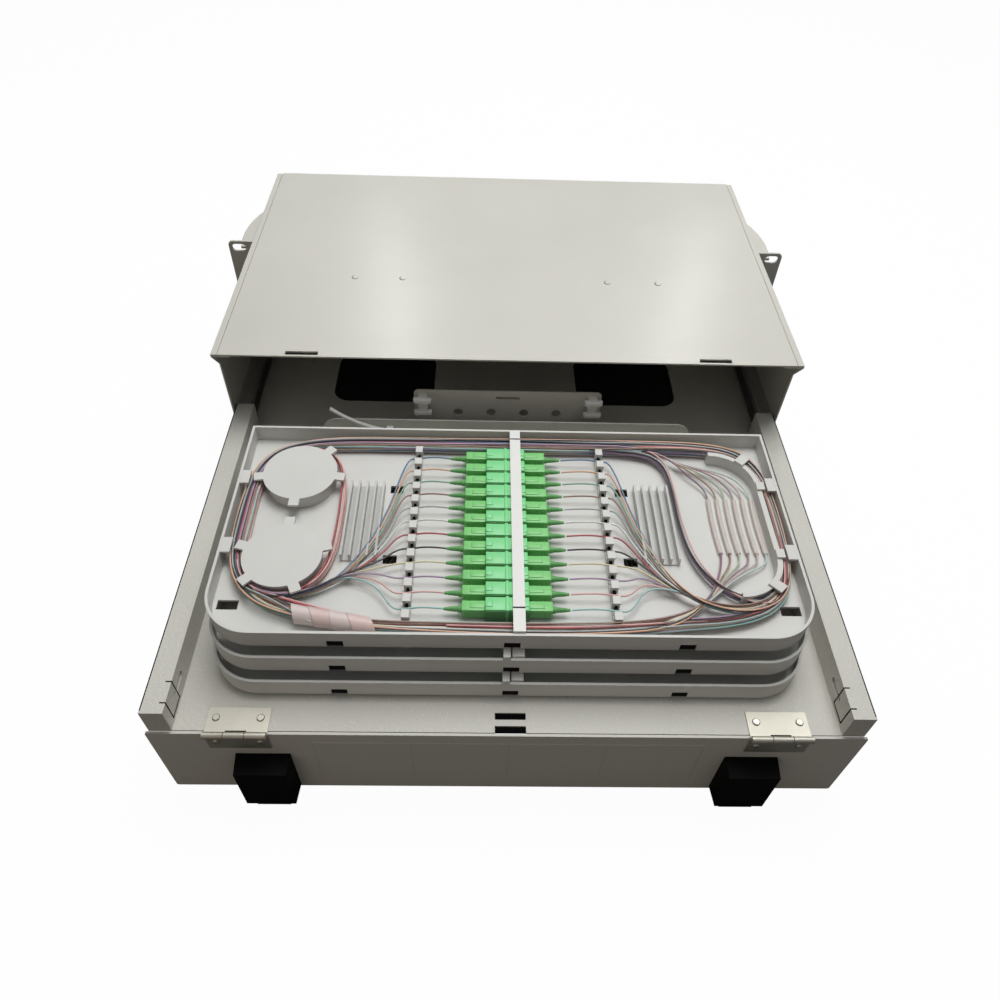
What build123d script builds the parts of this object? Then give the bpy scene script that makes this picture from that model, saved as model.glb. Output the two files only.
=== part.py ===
"""Rack-mounted optical distribution frame: hinged splice trays in a pull-out drawer in a sheet housing.

Millimetres. X to the right, Y to the back, Z up. The origin is the centre of the rack-ear slot pattern,
on the plane where the ears meet the rack. The drawer is drawn pulled out, with its front door hanging.
"""
from build123d import *
import os

os.makedirs("parts", exist_ok=True)

# Housing and rack ears
HOUSING_W = 440.0
HOUSING_D = 280.0
HOUSING_H = 88.0
SHEET = 1.2
TOP_FLANGE = 4.5
COVER_LEDGE = 10.0
SEAM_GAP = 0.3
FRONT_CUT_Y = 12.0
FRONT_CUT_Z = 18.0
REAR_LIP = 14.0
PORT_R = 15.0
PORT_X = 150.0
WINDOW_X = 105.0
WINDOW_W = 86.0
WINDOW_L = 66.0
WINDOW_Y = 84.0
WINDOW_R = 14.0
EAR_SETBACK = 158.0
EAR_OUT = 21.3
EAR_SLOT_IN = 8.75
EAR_SLOT_Z = 76.2
EAR_SLOT_L = 12.0
EAR_SLOT_W = 6.8
EAR_T = 2.0
EAR_SIDE_L = 68.0
EAR_GUSSET_OUT = 11.0
EAR_GUSSET_BELLY = 0.55
EAR_GUSSET_DROP = 6.0
EAR_CORNER_R = 4.0
EAR_SCREW_PITCH_Y = 40.0
EAR_SCREW_PITCH_Z = 40.0
COVER_SCREW_PITCH = 190.0
GROMMET_LIP = 2.2
SCREW_R = 2.0
SCREW_HEAD_R = 3.6
SCREW_HEAD_H = 2.2
SCREW_PLAY = 0.1
SCREW_GRIP = 4.0

# Drawer on its telescopic slides
DRAWER_OUT = 253.0
DRAWER_REAR_GAP = 7.0
FLOOR_LIFT = 2.0
CHANNEL_H = 21.0
CHANNEL_GAP = 0.9
SLIDE_H = 18.0
SLIDE_SHEET = 1.2
SLIDE_GAP = 0.5
SLIDE_THICK = 13.2
SLIDE_L = 250.0
SLIDE_INSET = 14.0
FINGER_SLOT_L = 19.0
FINGER_SLOT_W = 4.5
FINGER_SLOT_Y = 11.0
TAB_Y = 26.0
TAB_L = 16.0
TAB_W = 5.0

# Front door, its hinges and latches
DOOR_W = 440.0
DOOR_H = 75.0
DOOR_T = 1.5
DOOR_CLEAR = 0.5
KNUCKLE_R = 2.2
PIN_R = 1.1
PIN_PLAY = 0.05
KNUCKLE_GAP = 0.4
HINGE_X = 165.5
HINGE_W = 38.0
LEAF_L = 17.0
LEAF_T = 1.0
RIVET_R = 1.4
RIVET_HEAD_R = 2.4
RIVET_HEAD_H = 1.0
RIVET_PITCH = 27.0
RIVET_Y = 8.0
LABEL_W = 243.0
LABEL_H = 48.0
LABEL_T = 0.5
LABEL_DROP = 10.0
DOOR_CORNER_R = 1.5
LATCH_X = 154.0
LATCH_W = 34.0
LATCH_H = 46.0
LATCH_DEPTH = 14.0
LATCH_WALL = 2.4
LATCH_TAPER = 4.0
LATCH_EDGE = 3.0
THUMB_W = 14.0
THUMB_H = 12.0
THUMB_OUT = 2.5
THUMB_UP = 20.0
BOLT_W = 22.0
BOLT_T = 2.6
BOLT_DEPTH = 9.0
BOLT_GAP = 0.35
LATCH_STROKE = 4.0
LATCH_ROOM = 1.0
COVER_SLOT_W = 24.0
COVER_SLOT_D = 4.2
SPRING_R = 2.0
SPRING_WIRE_R = 0.4
SPRING_DEPTH = 6.0

# Splice trays
TRAY_NAMES = ("bottom", "middle", "top")
TRAYS = len(TRAY_NAMES)
TRAY_W = 374.0
TRAY_D = 177.0
TRAY_H = 14.0
TRAY_FLOOR = 1.6
TRAY_WALL = 1.8
TRAY_PITCH = 18.0
TRAY_STEP = 6.0
TRAY_FEET = 2.0
TRAY_FRONT_R = 31.0
TRAY_CHAMFER = 11.0
TOP_TRAY_REAR = 40.0
PIVOT_BACK = 3.2
PIVOT_UP = 3.2
ARM_R = 2.6
ARM_W = 5.0
LUG_W = 3.0
LUG_GAP = 0.3
ARM_PIN_R = 1.2
ARM_X = 128.0
ARM_SHIFT = 20.0
NOTCH_W = 10.0
NOTCH_H = 6.0
NOTCH_PITCH = 106.0
FLOOR_WINDOW_X = 79.0
FLOOR_WINDOW_PITCH = 62.0
FLOOR_WINDOW_W = 9.0
FLOOR_WINDOW_L = 7.0
CORNER_HOLE_X = 176.0
CORNER_HOLE_Y = -149.0
CORNER_HOLE_W = 13.0
CORNER_HOLE_L = 7.0
TAB_SIZE = 12.0
TAB_REACH = 6.0
TAB_PITCH_Y = 60.0
FOOT_X = 300.0
FOOT_Y = 110.0
FOOT_R = 5.0
REST_X = -3.0
REST_W = 4.4
REST_L = 9.0

# Adapters, plugs and what else sits in a tray
ADAPTERS = 12
ADAPTER_PITCH = 11.8
ADAPTER_L = 27.0
ADAPTER_W = 10.0
ADAPTER_H = 12.4
WAIST = 0.8
WAIST_L = 2.4
ADAPTER_X = -3.0
PLUG_OUT = 14.5
PLUG_W = 7.4
PLUG_H = 8.6
BOOT_L = 11.0
BOOT_R = 1.9
BOOT_TAPER = 4.5
BAR_W = 7.5
BAR_T = 1.6
BAR_X = 4.0
BAR_LEG = 3.0
COMB_X = 65.0
COMB_W = 5.0
COMB_Y = -89.0
COMB_BASE = 2.0
COMB_TOOTH = 3.0
COMB_H = 8.0
HOOK_W = 6.0
HOOK_T = 1.2
LAYOUT_Y = -81.0
SPOOL_X = -146.0
SPOOL_R = 25.5
SPOOL_LID = 1.5
SPOOL_PITCH = 73.0
SPOOL_H = 9.6
FINGER_L = 6.0
FINGER_W = 7.0
REAR_FINGERS = (-8, 50, 190, 270)
FRONT_FINGERS = (15, 90, 165, 225, 295)
GUIDE_X = 144.5
GUIDE_H = 9.6
GUIDE_WALL = 3.6
GUIDE_FINGER_L = 2.0
GUIDE_L = 128.0
GUIDE_W = 63.6
SLEEVE_X = 154.5
SLEEVE_R = 1.6
SLEEVE_L = 48.0
SLEEVES = 6
SLEEVE_PITCH = 6.0
HOLDER_X = 99.0
HOLDER_W = 24.0
HOLDER_L = 66.0
HOLDER_BASE = 1.2
HOLDER_RIB = 1.6
HOLDER_RIBS = 5
HOLDER_H = 7.0
FIBRE_R = 2.2
FIBRE_INSET = 7.0
FIBRE_START = 72.0
FIBRE_BEND = 24.0

# Cable fittings at the back of the drawer
BRACKET_W = 147.0
BRACKET_H = 49.0
BRACKET_Y = 8.0
BRACKET_HOLE_R = 3.6
BRACKET_HOLES = 4
BRACKET_PITCH = 26.0
GUIDE_PLATE_W = 290.0
GUIDE_PLATE_H = 30.0
GUIDE_PLATE_Y = -6.0
FOOT_L = 9.0
BRACKET_CORNER_R = 4.0
BRACKET_HOLE_DROP = 22.0
BRACKET_SLOT_DROP = 7.0
GUIDE_PLATE_R = 12.0
CLIP_W = 14.0
CLIP_D = 5.0
CLIP_BAR = 4.0
CLIP_Z = 31.0
CLIP_H = 15.0
CLIP_CAP = 3.0
TIE_X = -92.0
TIE_Z = 21.0
TIE_HEAD = 5.5
TIE_T = 1.4
TIE_PLAY = 1.0
TIE_TAIL_L = 44.0
TIE_TAIL_RISE = 22.0
TIE_TAIL_BOW = 0.32

# Places worked out from the sizes above
FRONT = -EAR_SETBACK
BACK = FRONT + HOUSING_D
TOP = HOUSING_H / 2
BOTTOM = -HOUSING_H / 2
HALF_W = HOUSING_W / 2
EAR_SPAN = HOUSING_W + 2 * EAR_OUT
EAR_SLOT_X = EAR_SPAN - 2 * EAR_SLOT_IN
WALL_IN = HALF_W - SHEET
COVER_HALF = HALF_W - TOP_FLANGE - SEAM_GAP
EAR_SCREW_Y = EAR_SIDE_L / 2
LEDGE_NOTCH = TOP_FLANGE + COVER_LEDGE - SHEET + SEAM_GAP
PAN_FRONT = FRONT - DRAWER_OUT
TRAVEL = DRAWER_OUT
PAN_BACK = BACK - SHEET - DRAWER_REAR_GAP - TRAVEL
PAN_HALF = WALL_IN - SLIDE_THICK - SLIDE_GAP
FLOOR_Z = BOTTOM + FLOOR_LIFT + SHEET
CHANNEL_TOP = FLOOR_Z + CHANNEL_H
SLIDE_Z = BOTTOM + SHEET + (CHANNEL_TOP - BOTTOM - 2 * SHEET) / 2
HINGE_Y = PAN_FRONT - KNUCKLE_R - DOOR_T - DOOR_CLEAR
HINGE_Z = FLOOR_Z + KNUCKLE_R
DOOR_INNER = HINGE_Y + KNUCKLE_R
DOOR_RIVET_Z = HINGE_Z - KNUCKLE_R - LEAF_L / 2
DOOR_TOP = HINGE_Z - KNUCKLE_R - DOOR_CLEAR
DOOR_FREE = DOOR_TOP - DOOR_H
LATCH_Z = DOOR_FREE + LATCH_EDGE
THUMB_Z = LATCH_Z + THUMB_UP
BOLT_TIP = 2 * HINGE_Z - TOP + SEAM_GAP
COVER_SLOT_Y = BOLT_DEPTH + BOLT_T / 2 - DOOR_T - DOOR_CLEAR - 2 * KNUCKLE_R
SIDES = {"left": -1, "right": 1}


def across(y):
    """Plane seen from the front at depth y: its local axes are X and Z, and it faces -Y."""
    return Plane(origin=(0, y, 0), x_dir=(1, 0, 0), z_dir=(0, -1, 0))


def along(x):
    """Plane seen from the right at x: its local axes are Y and Z, and it faces +X."""
    return Plane(origin=(x, 0, 0), x_dir=(0, 1, 0), z_dir=(1, 0, 0))


def level(z, y=0.0):
    """Horizontal plane at height z with its own origin at depth y."""
    return Plane(origin=(0, y, z))


def keep(piece, name):
    """Labels a finished piece and writes it as its own file."""
    piece.label = name
    export_step(piece, f"parts/{name}.step")
    return piece


def housing_base():
    """Floor sheet of the housing, with two rounded cable windows."""
    with BuildPart() as base:
        with BuildSketch(level(BOTTOM, FRONT)):
            Rectangle(HOUSING_W, HOUSING_D, align=(Align.CENTER, Align.MIN))
            with Locations((0, WINDOW_Y)):
                with GridLocations(2 * WINDOW_X, 0, 2, 1):
                    RectangleRounded(WINDOW_W, WINDOW_L, WINDOW_R, mode=Mode.SUBTRACT)
        extrude(amount=SHEET)
    return keep(base.part, "housing_base")


def housing_side(side):
    """Side sheet on the base: its top is folded in and joggled into a ledge, its front edge is cut back."""
    ledge_in = HALF_W - TOP_FLANGE - COVER_LEDGE
    with BuildPart() as wall:
        with BuildSketch(across(FRONT)):
            with BuildLine():
                Polyline((HALF_W, BOTTOM + SHEET), (HALF_W, TOP), (HALF_W - TOP_FLANGE, TOP),
                         (HALF_W - TOP_FLANGE, TOP - SHEET), (ledge_in, TOP - SHEET),
                         (ledge_in, TOP - 2 * SHEET), (WALL_IN, TOP - 2 * SHEET),
                         (WALL_IN, BOTTOM + SHEET), close=True)
            make_face()
        extrude(amount=-HOUSING_D)
        with BuildSketch(along(WALL_IN)):
            with BuildLine():
                Polyline((FRONT, TOP - 2 * SHEET), (FRONT, BOTTOM), (FRONT + FRONT_CUT_Y, BOTTOM),
                         (FRONT + FRONT_CUT_Y, TOP - FRONT_CUT_Z), close=True)
            make_face()
        extrude(amount=SHEET, mode=Mode.SUBTRACT)
        with BuildSketch(along(WALL_IN)):
            with Locations((EAR_SCREW_Y, 0)):
                with GridLocations(EAR_SCREW_PITCH_Y, EAR_SCREW_PITCH_Z, 2, 2):
                    Circle(SCREW_R + SCREW_PLAY)
        extrude(amount=SHEET, mode=Mode.SUBTRACT)
        if side == "left":
            mirror(about=Plane.YZ, mode=Mode.REPLACE)
    return keep(wall.part, f"housing_side_{side}")


def housing_rear():
    """Rear sheet between the sides, with two round cable ports and the cover's screw holes."""
    with BuildPart() as rear:
        with BuildSketch(across(BACK)):
            with Locations((0, BOTTOM + SHEET)):
                Rectangle(2 * WALL_IN, HOUSING_H - 2 * SHEET, align=(Align.CENTER, Align.MIN))
            with GridLocations(2 * PORT_X, 0, 2, 1):
                Circle(PORT_R, mode=Mode.SUBTRACT)
            with Locations((0, TOP - SHEET - REAR_LIP / 2)):
                with GridLocations(COVER_SCREW_PITCH, 0, 3, 1):
                    Circle(SCREW_R + SCREW_PLAY, mode=Mode.SUBTRACT)
            with GridLocations(2 * WALL_IN, 0, 2, 1):
                with Locations((0, TOP - 2 * SHEET)):
                    Rectangle(2 * LEDGE_NOTCH, SHEET, align=(Align.CENTER, Align.MIN), mode=Mode.SUBTRACT)
        extrude(amount=SHEET)
    return keep(rear.part, "housing_rear")


def top_cover():
    """Flat lid on the sides' ledges, with two latch slots at the front and a screwed lip at the back."""
    with BuildPart() as cover:
        with BuildSketch(along(-COVER_HALF)):
            with BuildLine():
                Polyline((FRONT, TOP), (BACK + SHEET, TOP), (BACK + SHEET, TOP - SHEET - REAR_LIP),
                         (BACK, TOP - SHEET - REAR_LIP), (BACK, TOP - SHEET), (FRONT, TOP - SHEET),
                         close=True)
            make_face()
        extrude(amount=2 * COVER_HALF)
        with BuildSketch(level(TOP, FRONT + COVER_SLOT_Y)):
            with GridLocations(2 * LATCH_X, 0, 2, 1):
                Rectangle(COVER_SLOT_W, COVER_SLOT_D)
        extrude(amount=-SHEET, mode=Mode.SUBTRACT)
        with BuildSketch(across(BACK + SHEET)):
            with Locations((0, TOP - SHEET - REAR_LIP / 2)):
                with GridLocations(COVER_SCREW_PITCH, 0, 3, 1):
                    Circle(SCREW_R + SCREW_PLAY)
        extrude(amount=SHEET, mode=Mode.SUBTRACT)
    return keep(cover.part, "top_cover")


def cover_screws():
    """Pan-head screws that hold the cover's rear lip to the shell."""
    with BuildPart() as screws:
        with BuildSketch(across(BACK + SHEET)):
            with Locations((0, TOP - SHEET - REAR_LIP / 2)):
                with GridLocations(COVER_SCREW_PITCH, 0, 3, 1):
                    Circle(SCREW_HEAD_R)
        extrude(amount=-SCREW_HEAD_H)
        chamfer(screws.edges().group_by(Axis.Y)[-1], SCREW_HEAD_H / 3)
        with BuildSketch(across(BACK + SHEET)):
            with Locations((0, TOP - SHEET - REAR_LIP / 2)):
                with GridLocations(COVER_SCREW_PITCH, 0, 3, 1):
                    Circle(SCREW_R)
        extrude(amount=SCREW_GRIP)
    return keep(screws.part, "cover_screws")


def rack_ear(side):
    """Bent ear on one side of the housing: slotted flange, side plate and a rounded gusset along the top."""
    with BuildPart() as ear:
        with BuildSketch(across(0)) as flange:
            with Locations((EAR_SPAN / 2, 0)):
                Rectangle(EAR_SPAN / 2 - HALF_W, HOUSING_H, align=(Align.MAX, Align.CENTER))
            fillet(flange.vertices().group_by(Axis.X)[-1], EAR_CORNER_R)
        extrude(amount=EAR_T)
        with BuildSketch(along(HALF_W)):
            with Locations((-EAR_T, -EAR_GUSSET_DROP / 2)):
                Rectangle(EAR_SIDE_L, HOUSING_H - EAR_GUSSET_DROP, align=(Align.MIN, Align.CENTER))
        extrude(amount=EAR_T)
        with BuildSketch(level(TOP - EAR_GUSSET_DROP)):
            with BuildLine():
                Polyline((HALF_W, EAR_SIDE_L - EAR_T), (HALF_W, -EAR_T), (HALF_W + EAR_GUSSET_OUT, -EAR_T))
                Spline((HALF_W + EAR_GUSSET_OUT, -EAR_T),
                       (HALF_W + EAR_GUSSET_OUT, EAR_SIDE_L * EAR_GUSSET_BELLY),
                       (HALF_W, EAR_SIDE_L - EAR_T))
            make_face()
        extrude(amount=-EAR_T)
        with BuildSketch(across(0)):
            with GridLocations(EAR_SLOT_X, EAR_SLOT_Z, 2, 2):
                SlotOverall(EAR_SLOT_L, EAR_SLOT_W)
        extrude(amount=EAR_T, mode=Mode.SUBTRACT)
        with BuildSketch(along(HALF_W)):
            with Locations((EAR_SCREW_Y, 0)):
                with GridLocations(EAR_SCREW_PITCH_Y, EAR_SCREW_PITCH_Z, 2, 2):
                    Circle(SCREW_R + SCREW_PLAY)
        extrude(amount=EAR_T, mode=Mode.SUBTRACT)
        if side == "left":
            mirror(about=Plane.YZ, mode=Mode.REPLACE)
    return keep(ear.part, f"rack_ear_{side}")


def ear_screws():
    """Screws through the ears' side plates into the shell."""
    with BuildPart() as screws:
        with BuildSketch(along(HALF_W + EAR_T)):
            with Locations((EAR_SCREW_Y, 0)):
                with GridLocations(EAR_SCREW_PITCH_Y, EAR_SCREW_PITCH_Z, 2, 2):
                    Circle(SCREW_HEAD_R)
        extrude(amount=SCREW_HEAD_H)
        chamfer(screws.edges().group_by(Axis.X)[-1], SCREW_HEAD_H / 3)
        with BuildSketch(along(HALF_W + EAR_T)):
            with Locations((EAR_SCREW_Y, 0)):
                with GridLocations(EAR_SCREW_PITCH_Y, EAR_SCREW_PITCH_Z, 2, 2):
                    Circle(SCREW_R)
        extrude(amount=-EAR_T - SHEET)
        mirror(about=Plane.YZ)
    return keep(screws.part, "ear_screws")


def cable_grommets():
    """Rubber grommets snapped over the edges of the rear cable ports."""
    with BuildPart() as grommets:
        with BuildSketch(across(BACK + GROMMET_LIP)):
            with GridLocations(2 * PORT_X, 0, 2, 1):
                Circle(PORT_R + GROMMET_LIP)
        extrude(amount=GROMMET_LIP)
        with BuildSketch(across(BACK)):
            with GridLocations(2 * PORT_X, 0, 2, 1):
                Circle(PORT_R)
        extrude(amount=SHEET)
        with BuildSketch(across(BACK - SHEET)):
            with GridLocations(2 * PORT_X, 0, 2, 1):
                Circle(PORT_R + GROMMET_LIP)
        extrude(amount=GROMMET_LIP)
        with BuildSketch(across(BACK + GROMMET_LIP)):
            with GridLocations(2 * PORT_X, 0, 2, 1):
                Circle(PORT_R - GROMMET_LIP)
        extrude(amount=2 * GROMMET_LIP + SHEET, mode=Mode.SUBTRACT)
    return keep(grommets.part, "cable_grommets")


def slide_member(name, web_x, inward, half_height, reach, front, side):
    """One C-shaped rail of a telescopic slide, its web at web_x and its lips pointing inward or outward."""
    turn = -1 if inward else 1
    with BuildPart() as rail:
        with BuildSketch(across(front)):
            with BuildLine():
                Polyline((web_x, SLIDE_Z - half_height), (web_x + turn * reach, SLIDE_Z - half_height),
                         (web_x + turn * reach, SLIDE_Z - half_height + SLIDE_SHEET),
                         (web_x + turn * SLIDE_SHEET, SLIDE_Z - half_height + SLIDE_SHEET),
                         (web_x + turn * SLIDE_SHEET, SLIDE_Z + half_height - SLIDE_SHEET),
                         (web_x + turn * reach, SLIDE_Z + half_height - SLIDE_SHEET),
                         (web_x + turn * reach, SLIDE_Z + half_height), (web_x, SLIDE_Z + half_height),
                         close=True)
            make_face()
        extrude(amount=-SLIDE_L)
        if side == "left":
            mirror(about=Plane.YZ, mode=Mode.REPLACE)
    return keep(rail.part, f"{name}_{side}")


def slides(side):
    """The outer, middle and inner rails of one side, nested with a running gap."""
    step = SLIDE_SHEET + SLIDE_GAP
    reach = SLIDE_THICK - 2 * step
    start = FRONT + SLIDE_INSET
    slide_member("slide_outer", WALL_IN, True, SLIDE_H / 2, reach + SLIDE_SHEET, start, side)
    slide_member("slide_middle", WALL_IN - step, True, SLIDE_H / 2 - step, reach, start - TRAVEL / 2, side)
    slide_member("slide_inner", PAN_HALF, False, SLIDE_H / 2 - 2 * step, reach, start - TRAVEL, side)


def drawer_pan():
    """Drawer floor with a raised channel along each side that hides the slides, closed at its front end."""
    channel_out = WALL_IN - CHANNEL_GAP
    with BuildPart() as pan:
        with BuildSketch(across(PAN_FRONT)):
            with BuildLine():
                Polyline((0, FLOOR_Z - SHEET), (PAN_HALF, FLOOR_Z - SHEET), (PAN_HALF, CHANNEL_TOP - SHEET),
                         (channel_out, CHANNEL_TOP - SHEET), (channel_out, CHANNEL_TOP),
                         (PAN_HALF - SHEET, CHANNEL_TOP), (PAN_HALF - SHEET, FLOOR_Z), (0, FLOOR_Z),
                         close=True)
            make_face()
            mirror(about=Plane.YZ)
        extrude(amount=PAN_FRONT - PAN_BACK)
        with BuildSketch(across(PAN_FRONT)):
            with BuildLine():
                Polyline((PAN_HALF - SHEET, FLOOR_Z - SHEET), (channel_out, FLOOR_Z - SHEET),
                         (channel_out, CHANNEL_TOP), (PAN_HALF - SHEET, CHANNEL_TOP), close=True)
            make_face()
            mirror(about=Plane.YZ)
        extrude(amount=-SHEET)
        with BuildSketch(level(FLOOR_Z, PAN_FRONT)):
            with Locations((0, FINGER_SLOT_Y)):
                Rectangle(FINGER_SLOT_L, FINGER_SLOT_W)
            Rectangle(FINGER_SLOT_L, FINGER_SLOT_W, align=(Align.CENTER, Align.MIN))
            with Locations((0, RIVET_Y)):
                with GridLocations(2 * HINGE_X, 0, 2, 1):
                    with GridLocations(RIVET_PITCH, 0, 2, 1):
                        Circle(RIVET_R + SCREW_PLAY)
        extrude(amount=-SHEET, mode=Mode.SUBTRACT)
        with BuildSketch(along(0)):
            with Locations((PAN_FRONT + TAB_Y, FLOOR_Z + CHANNEL_H / 2)):
                SlotOverall(TAB_L, TAB_W)
        extrude(amount=PAN_HALF, both=True, mode=Mode.SUBTRACT)
    return keep(pan.part, "drawer_pan")


def hinge_leaf(name, segments, plate, rivet_plane, rivet_depth):
    """The two leaves of one kind: plate, the knuckle segments that belong to it and the rivet holes."""
    size = 2 * (KNUCKLE_R + KNUCKLE_GAP)
    with BuildPart() as leaf:
        for sign in SIDES.values():
            start = along(sign * HINGE_X - HINGE_W / 2)
            with BuildSketch(start):
                with BuildLine():
                    Polyline(*plate, close=True)
                make_face()
                with Locations((HINGE_Y, HINGE_Z)):
                    Circle(KNUCKLE_R)
            extrude(amount=HINGE_W)
            for low, high in free_stretches(segments):
                with BuildSketch(start.offset(low)):
                    with Locations((HINGE_Y, HINGE_Z)):
                        Rectangle(size, size)
                extrude(amount=high - low, mode=Mode.SUBTRACT)
            with BuildSketch(start):
                with Locations((HINGE_Y, HINGE_Z)):
                    Circle(PIN_R + PIN_PLAY)
            extrude(amount=HINGE_W, mode=Mode.SUBTRACT)
        with BuildSketch(rivet_plane):
            with GridLocations(2 * HINGE_X, 0, 2, 1):
                with GridLocations(RIVET_PITCH, 0, 2, 1):
                    Circle(RIVET_R + SCREW_PLAY)
        extrude(amount=rivet_depth, mode=Mode.SUBTRACT)
    return keep(leaf.part, name)


def free_stretches(segments):
    """The stretches of the knuckle line that a leaf leaves free for the other leaf."""
    third = HINGE_W / 3
    if segments == "outer":
        return [(third - KNUCKLE_GAP / 2, 2 * third + KNUCKLE_GAP / 2)]
    return [(0, third + KNUCKLE_GAP / 2), (2 * third - KNUCKLE_GAP / 2, HINGE_W)]


def hinge_leaves():
    """Floor leaves and door leaves of the two butt hinges."""
    floor_end = HINGE_Y + LEAF_L + KNUCKLE_R
    door_end = HINGE_Z - LEAF_L - KNUCKLE_R
    hinge_leaf("hinge_leaves_floor", "outer",
               ((HINGE_Y, FLOOR_Z), (floor_end, FLOOR_Z), (floor_end, FLOOR_Z + LEAF_T),
                (HINGE_Y, FLOOR_Z + LEAF_T)),
               level(FLOOR_Z, PAN_FRONT + RIVET_Y), LEAF_T)
    hinge_leaf("hinge_leaves_door", "middle",
               ((DOOR_INNER, HINGE_Z), (DOOR_INNER, door_end), (DOOR_INNER - LEAF_T, door_end),
                (DOOR_INNER - LEAF_T, HINGE_Z)),
               across(DOOR_INNER).moved(Location((0, DOOR_RIVET_Z, 0))), LEAF_T)


def hinge_pins():
    """Pins of the two butt hinges."""
    with BuildPart() as pins:
        for sign in SIDES.values():
            with BuildSketch(along(sign * HINGE_X - HINGE_W / 2)):
                with Locations((HINGE_Y, HINGE_Z)):
                    Circle(PIN_R)
            extrude(amount=HINGE_W)
    return keep(pins.part, "hinge_pins")


def hinge_rivets():
    """Rivets that fix the leaves to the drawer floor and to the door."""
    with BuildPart() as floor_rivets:
        for radius, height in ((RIVET_HEAD_R, RIVET_HEAD_H), (RIVET_R, -LEAF_T - SHEET)):
            with BuildSketch(level(FLOOR_Z + LEAF_T, PAN_FRONT + RIVET_Y)):
                with GridLocations(2 * HINGE_X, 0, 2, 1):
                    with GridLocations(RIVET_PITCH, 0, 2, 1):
                        Circle(radius)
            extrude(amount=height)
        chamfer(floor_rivets.edges().group_by(Axis.Z)[-1], RIVET_HEAD_H / 2)
    keep(floor_rivets.part, "hinge_rivets_floor")
    with BuildPart() as door_rivets:
        for radius, height in ((RIVET_HEAD_R, RIVET_HEAD_H), (RIVET_R, -LEAF_T - DOOR_T)):
            with BuildSketch(across(DOOR_INNER - LEAF_T)):
                with Locations((0, DOOR_RIVET_Z)):
                    with GridLocations(2 * HINGE_X, 0, 2, 1):
                        with GridLocations(RIVET_PITCH, 0, 2, 1):
                            Circle(radius)
            extrude(amount=height)
        chamfer(door_rivets.edges().group_by(Axis.Y)[0], RIVET_HEAD_H / 2)
    keep(door_rivets.part, "hinge_rivets_door")


def bent_plate(width, height, depth_y, corner_r):
    """Upright plate on the drawer floor with rounded top corners and a foot bent forward."""
    with BuildSketch(across(depth_y)) as upright:
        with Locations((0, FLOOR_Z)):
            Rectangle(width, height, align=(Align.CENTER, Align.MIN))
        fillet(upright.vertices().group_by(Axis.Y)[-1], corner_r)
    extrude(upright.sketch, amount=SHEET)
    with BuildSketch(level(FLOOR_Z, depth_y - SHEET)) as foot:
        Rectangle(width - 2 * corner_r, FOOT_L, align=(Align.CENTER, Align.MAX))
    extrude(foot.sketch, amount=SHEET)


def cable_bracket():
    """Tall plate across the back of the drawer, with a row of tie holes and one slot."""
    with BuildPart() as bracket:
        bent_plate(BRACKET_W, BRACKET_H, FRONT + BRACKET_Y, BRACKET_CORNER_R)
        with BuildSketch(across(FRONT + BRACKET_Y)):
            with Locations((0, FLOOR_Z + BRACKET_H - BRACKET_HOLE_DROP)):
                with GridLocations(BRACKET_PITCH, 0, BRACKET_HOLES, 1):
                    Circle(BRACKET_HOLE_R)
            with Locations((0, FLOOR_Z + BRACKET_H - BRACKET_SLOT_DROP)):
                SlotOverall(FINGER_SLOT_L, FINGER_SLOT_W / 2)
        extrude(amount=SHEET, mode=Mode.SUBTRACT)
    return keep(bracket.part, "cable_bracket")


def guide_plate():
    """Long low plate in front of the bracket, over which the incoming tubes are led."""
    with BuildPart() as plate:
        bent_plate(GUIDE_PLATE_W, GUIDE_PLATE_H, FRONT + GUIDE_PLATE_Y, GUIDE_PLATE_R)
        with BuildSketch(across(FRONT + GUIDE_PLATE_Y)):
            with Locations((TIE_X, FLOOR_Z + TIE_Z)):
                SlotOverall(TIE_HEAD + 2 * TIE_PLAY, TIE_T + 2 * TIE_PLAY)
        extrude(amount=SHEET, mode=Mode.SUBTRACT)
    return keep(plate.part, "guide_plate")


def cable_clips():
    """White plastic clips on the bracket's two ends, each an upright with two wide caps."""
    with BuildPart() as clips:
        with BuildSketch(level(FLOOR_Z + CLIP_Z, FRONT + BRACKET_Y - SHEET)):
            with GridLocations(BRACKET_W - CLIP_W, 0, 2, 1):
                Rectangle(CLIP_W / 2, CLIP_D, align=(Align.CENTER, Align.MAX))
        extrude(amount=CLIP_H)
        for rise in (0, CLIP_H - CLIP_CAP):
            with BuildSketch(level(FLOOR_Z + CLIP_Z + rise, FRONT + BRACKET_Y - SHEET - CLIP_D)):
                with GridLocations(BRACKET_W - CLIP_W, 0, 2, 1):
                    Rectangle(CLIP_W, CLIP_BAR, align=(Align.CENTER, Align.MAX))
            extrude(amount=CLIP_CAP)
        chamfer(clips.edges().filter_by(Axis.Z).group_by(Axis.Y)[0], CLIP_BAR / 3)
    return keep(clips.part, "cable_clips")


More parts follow.
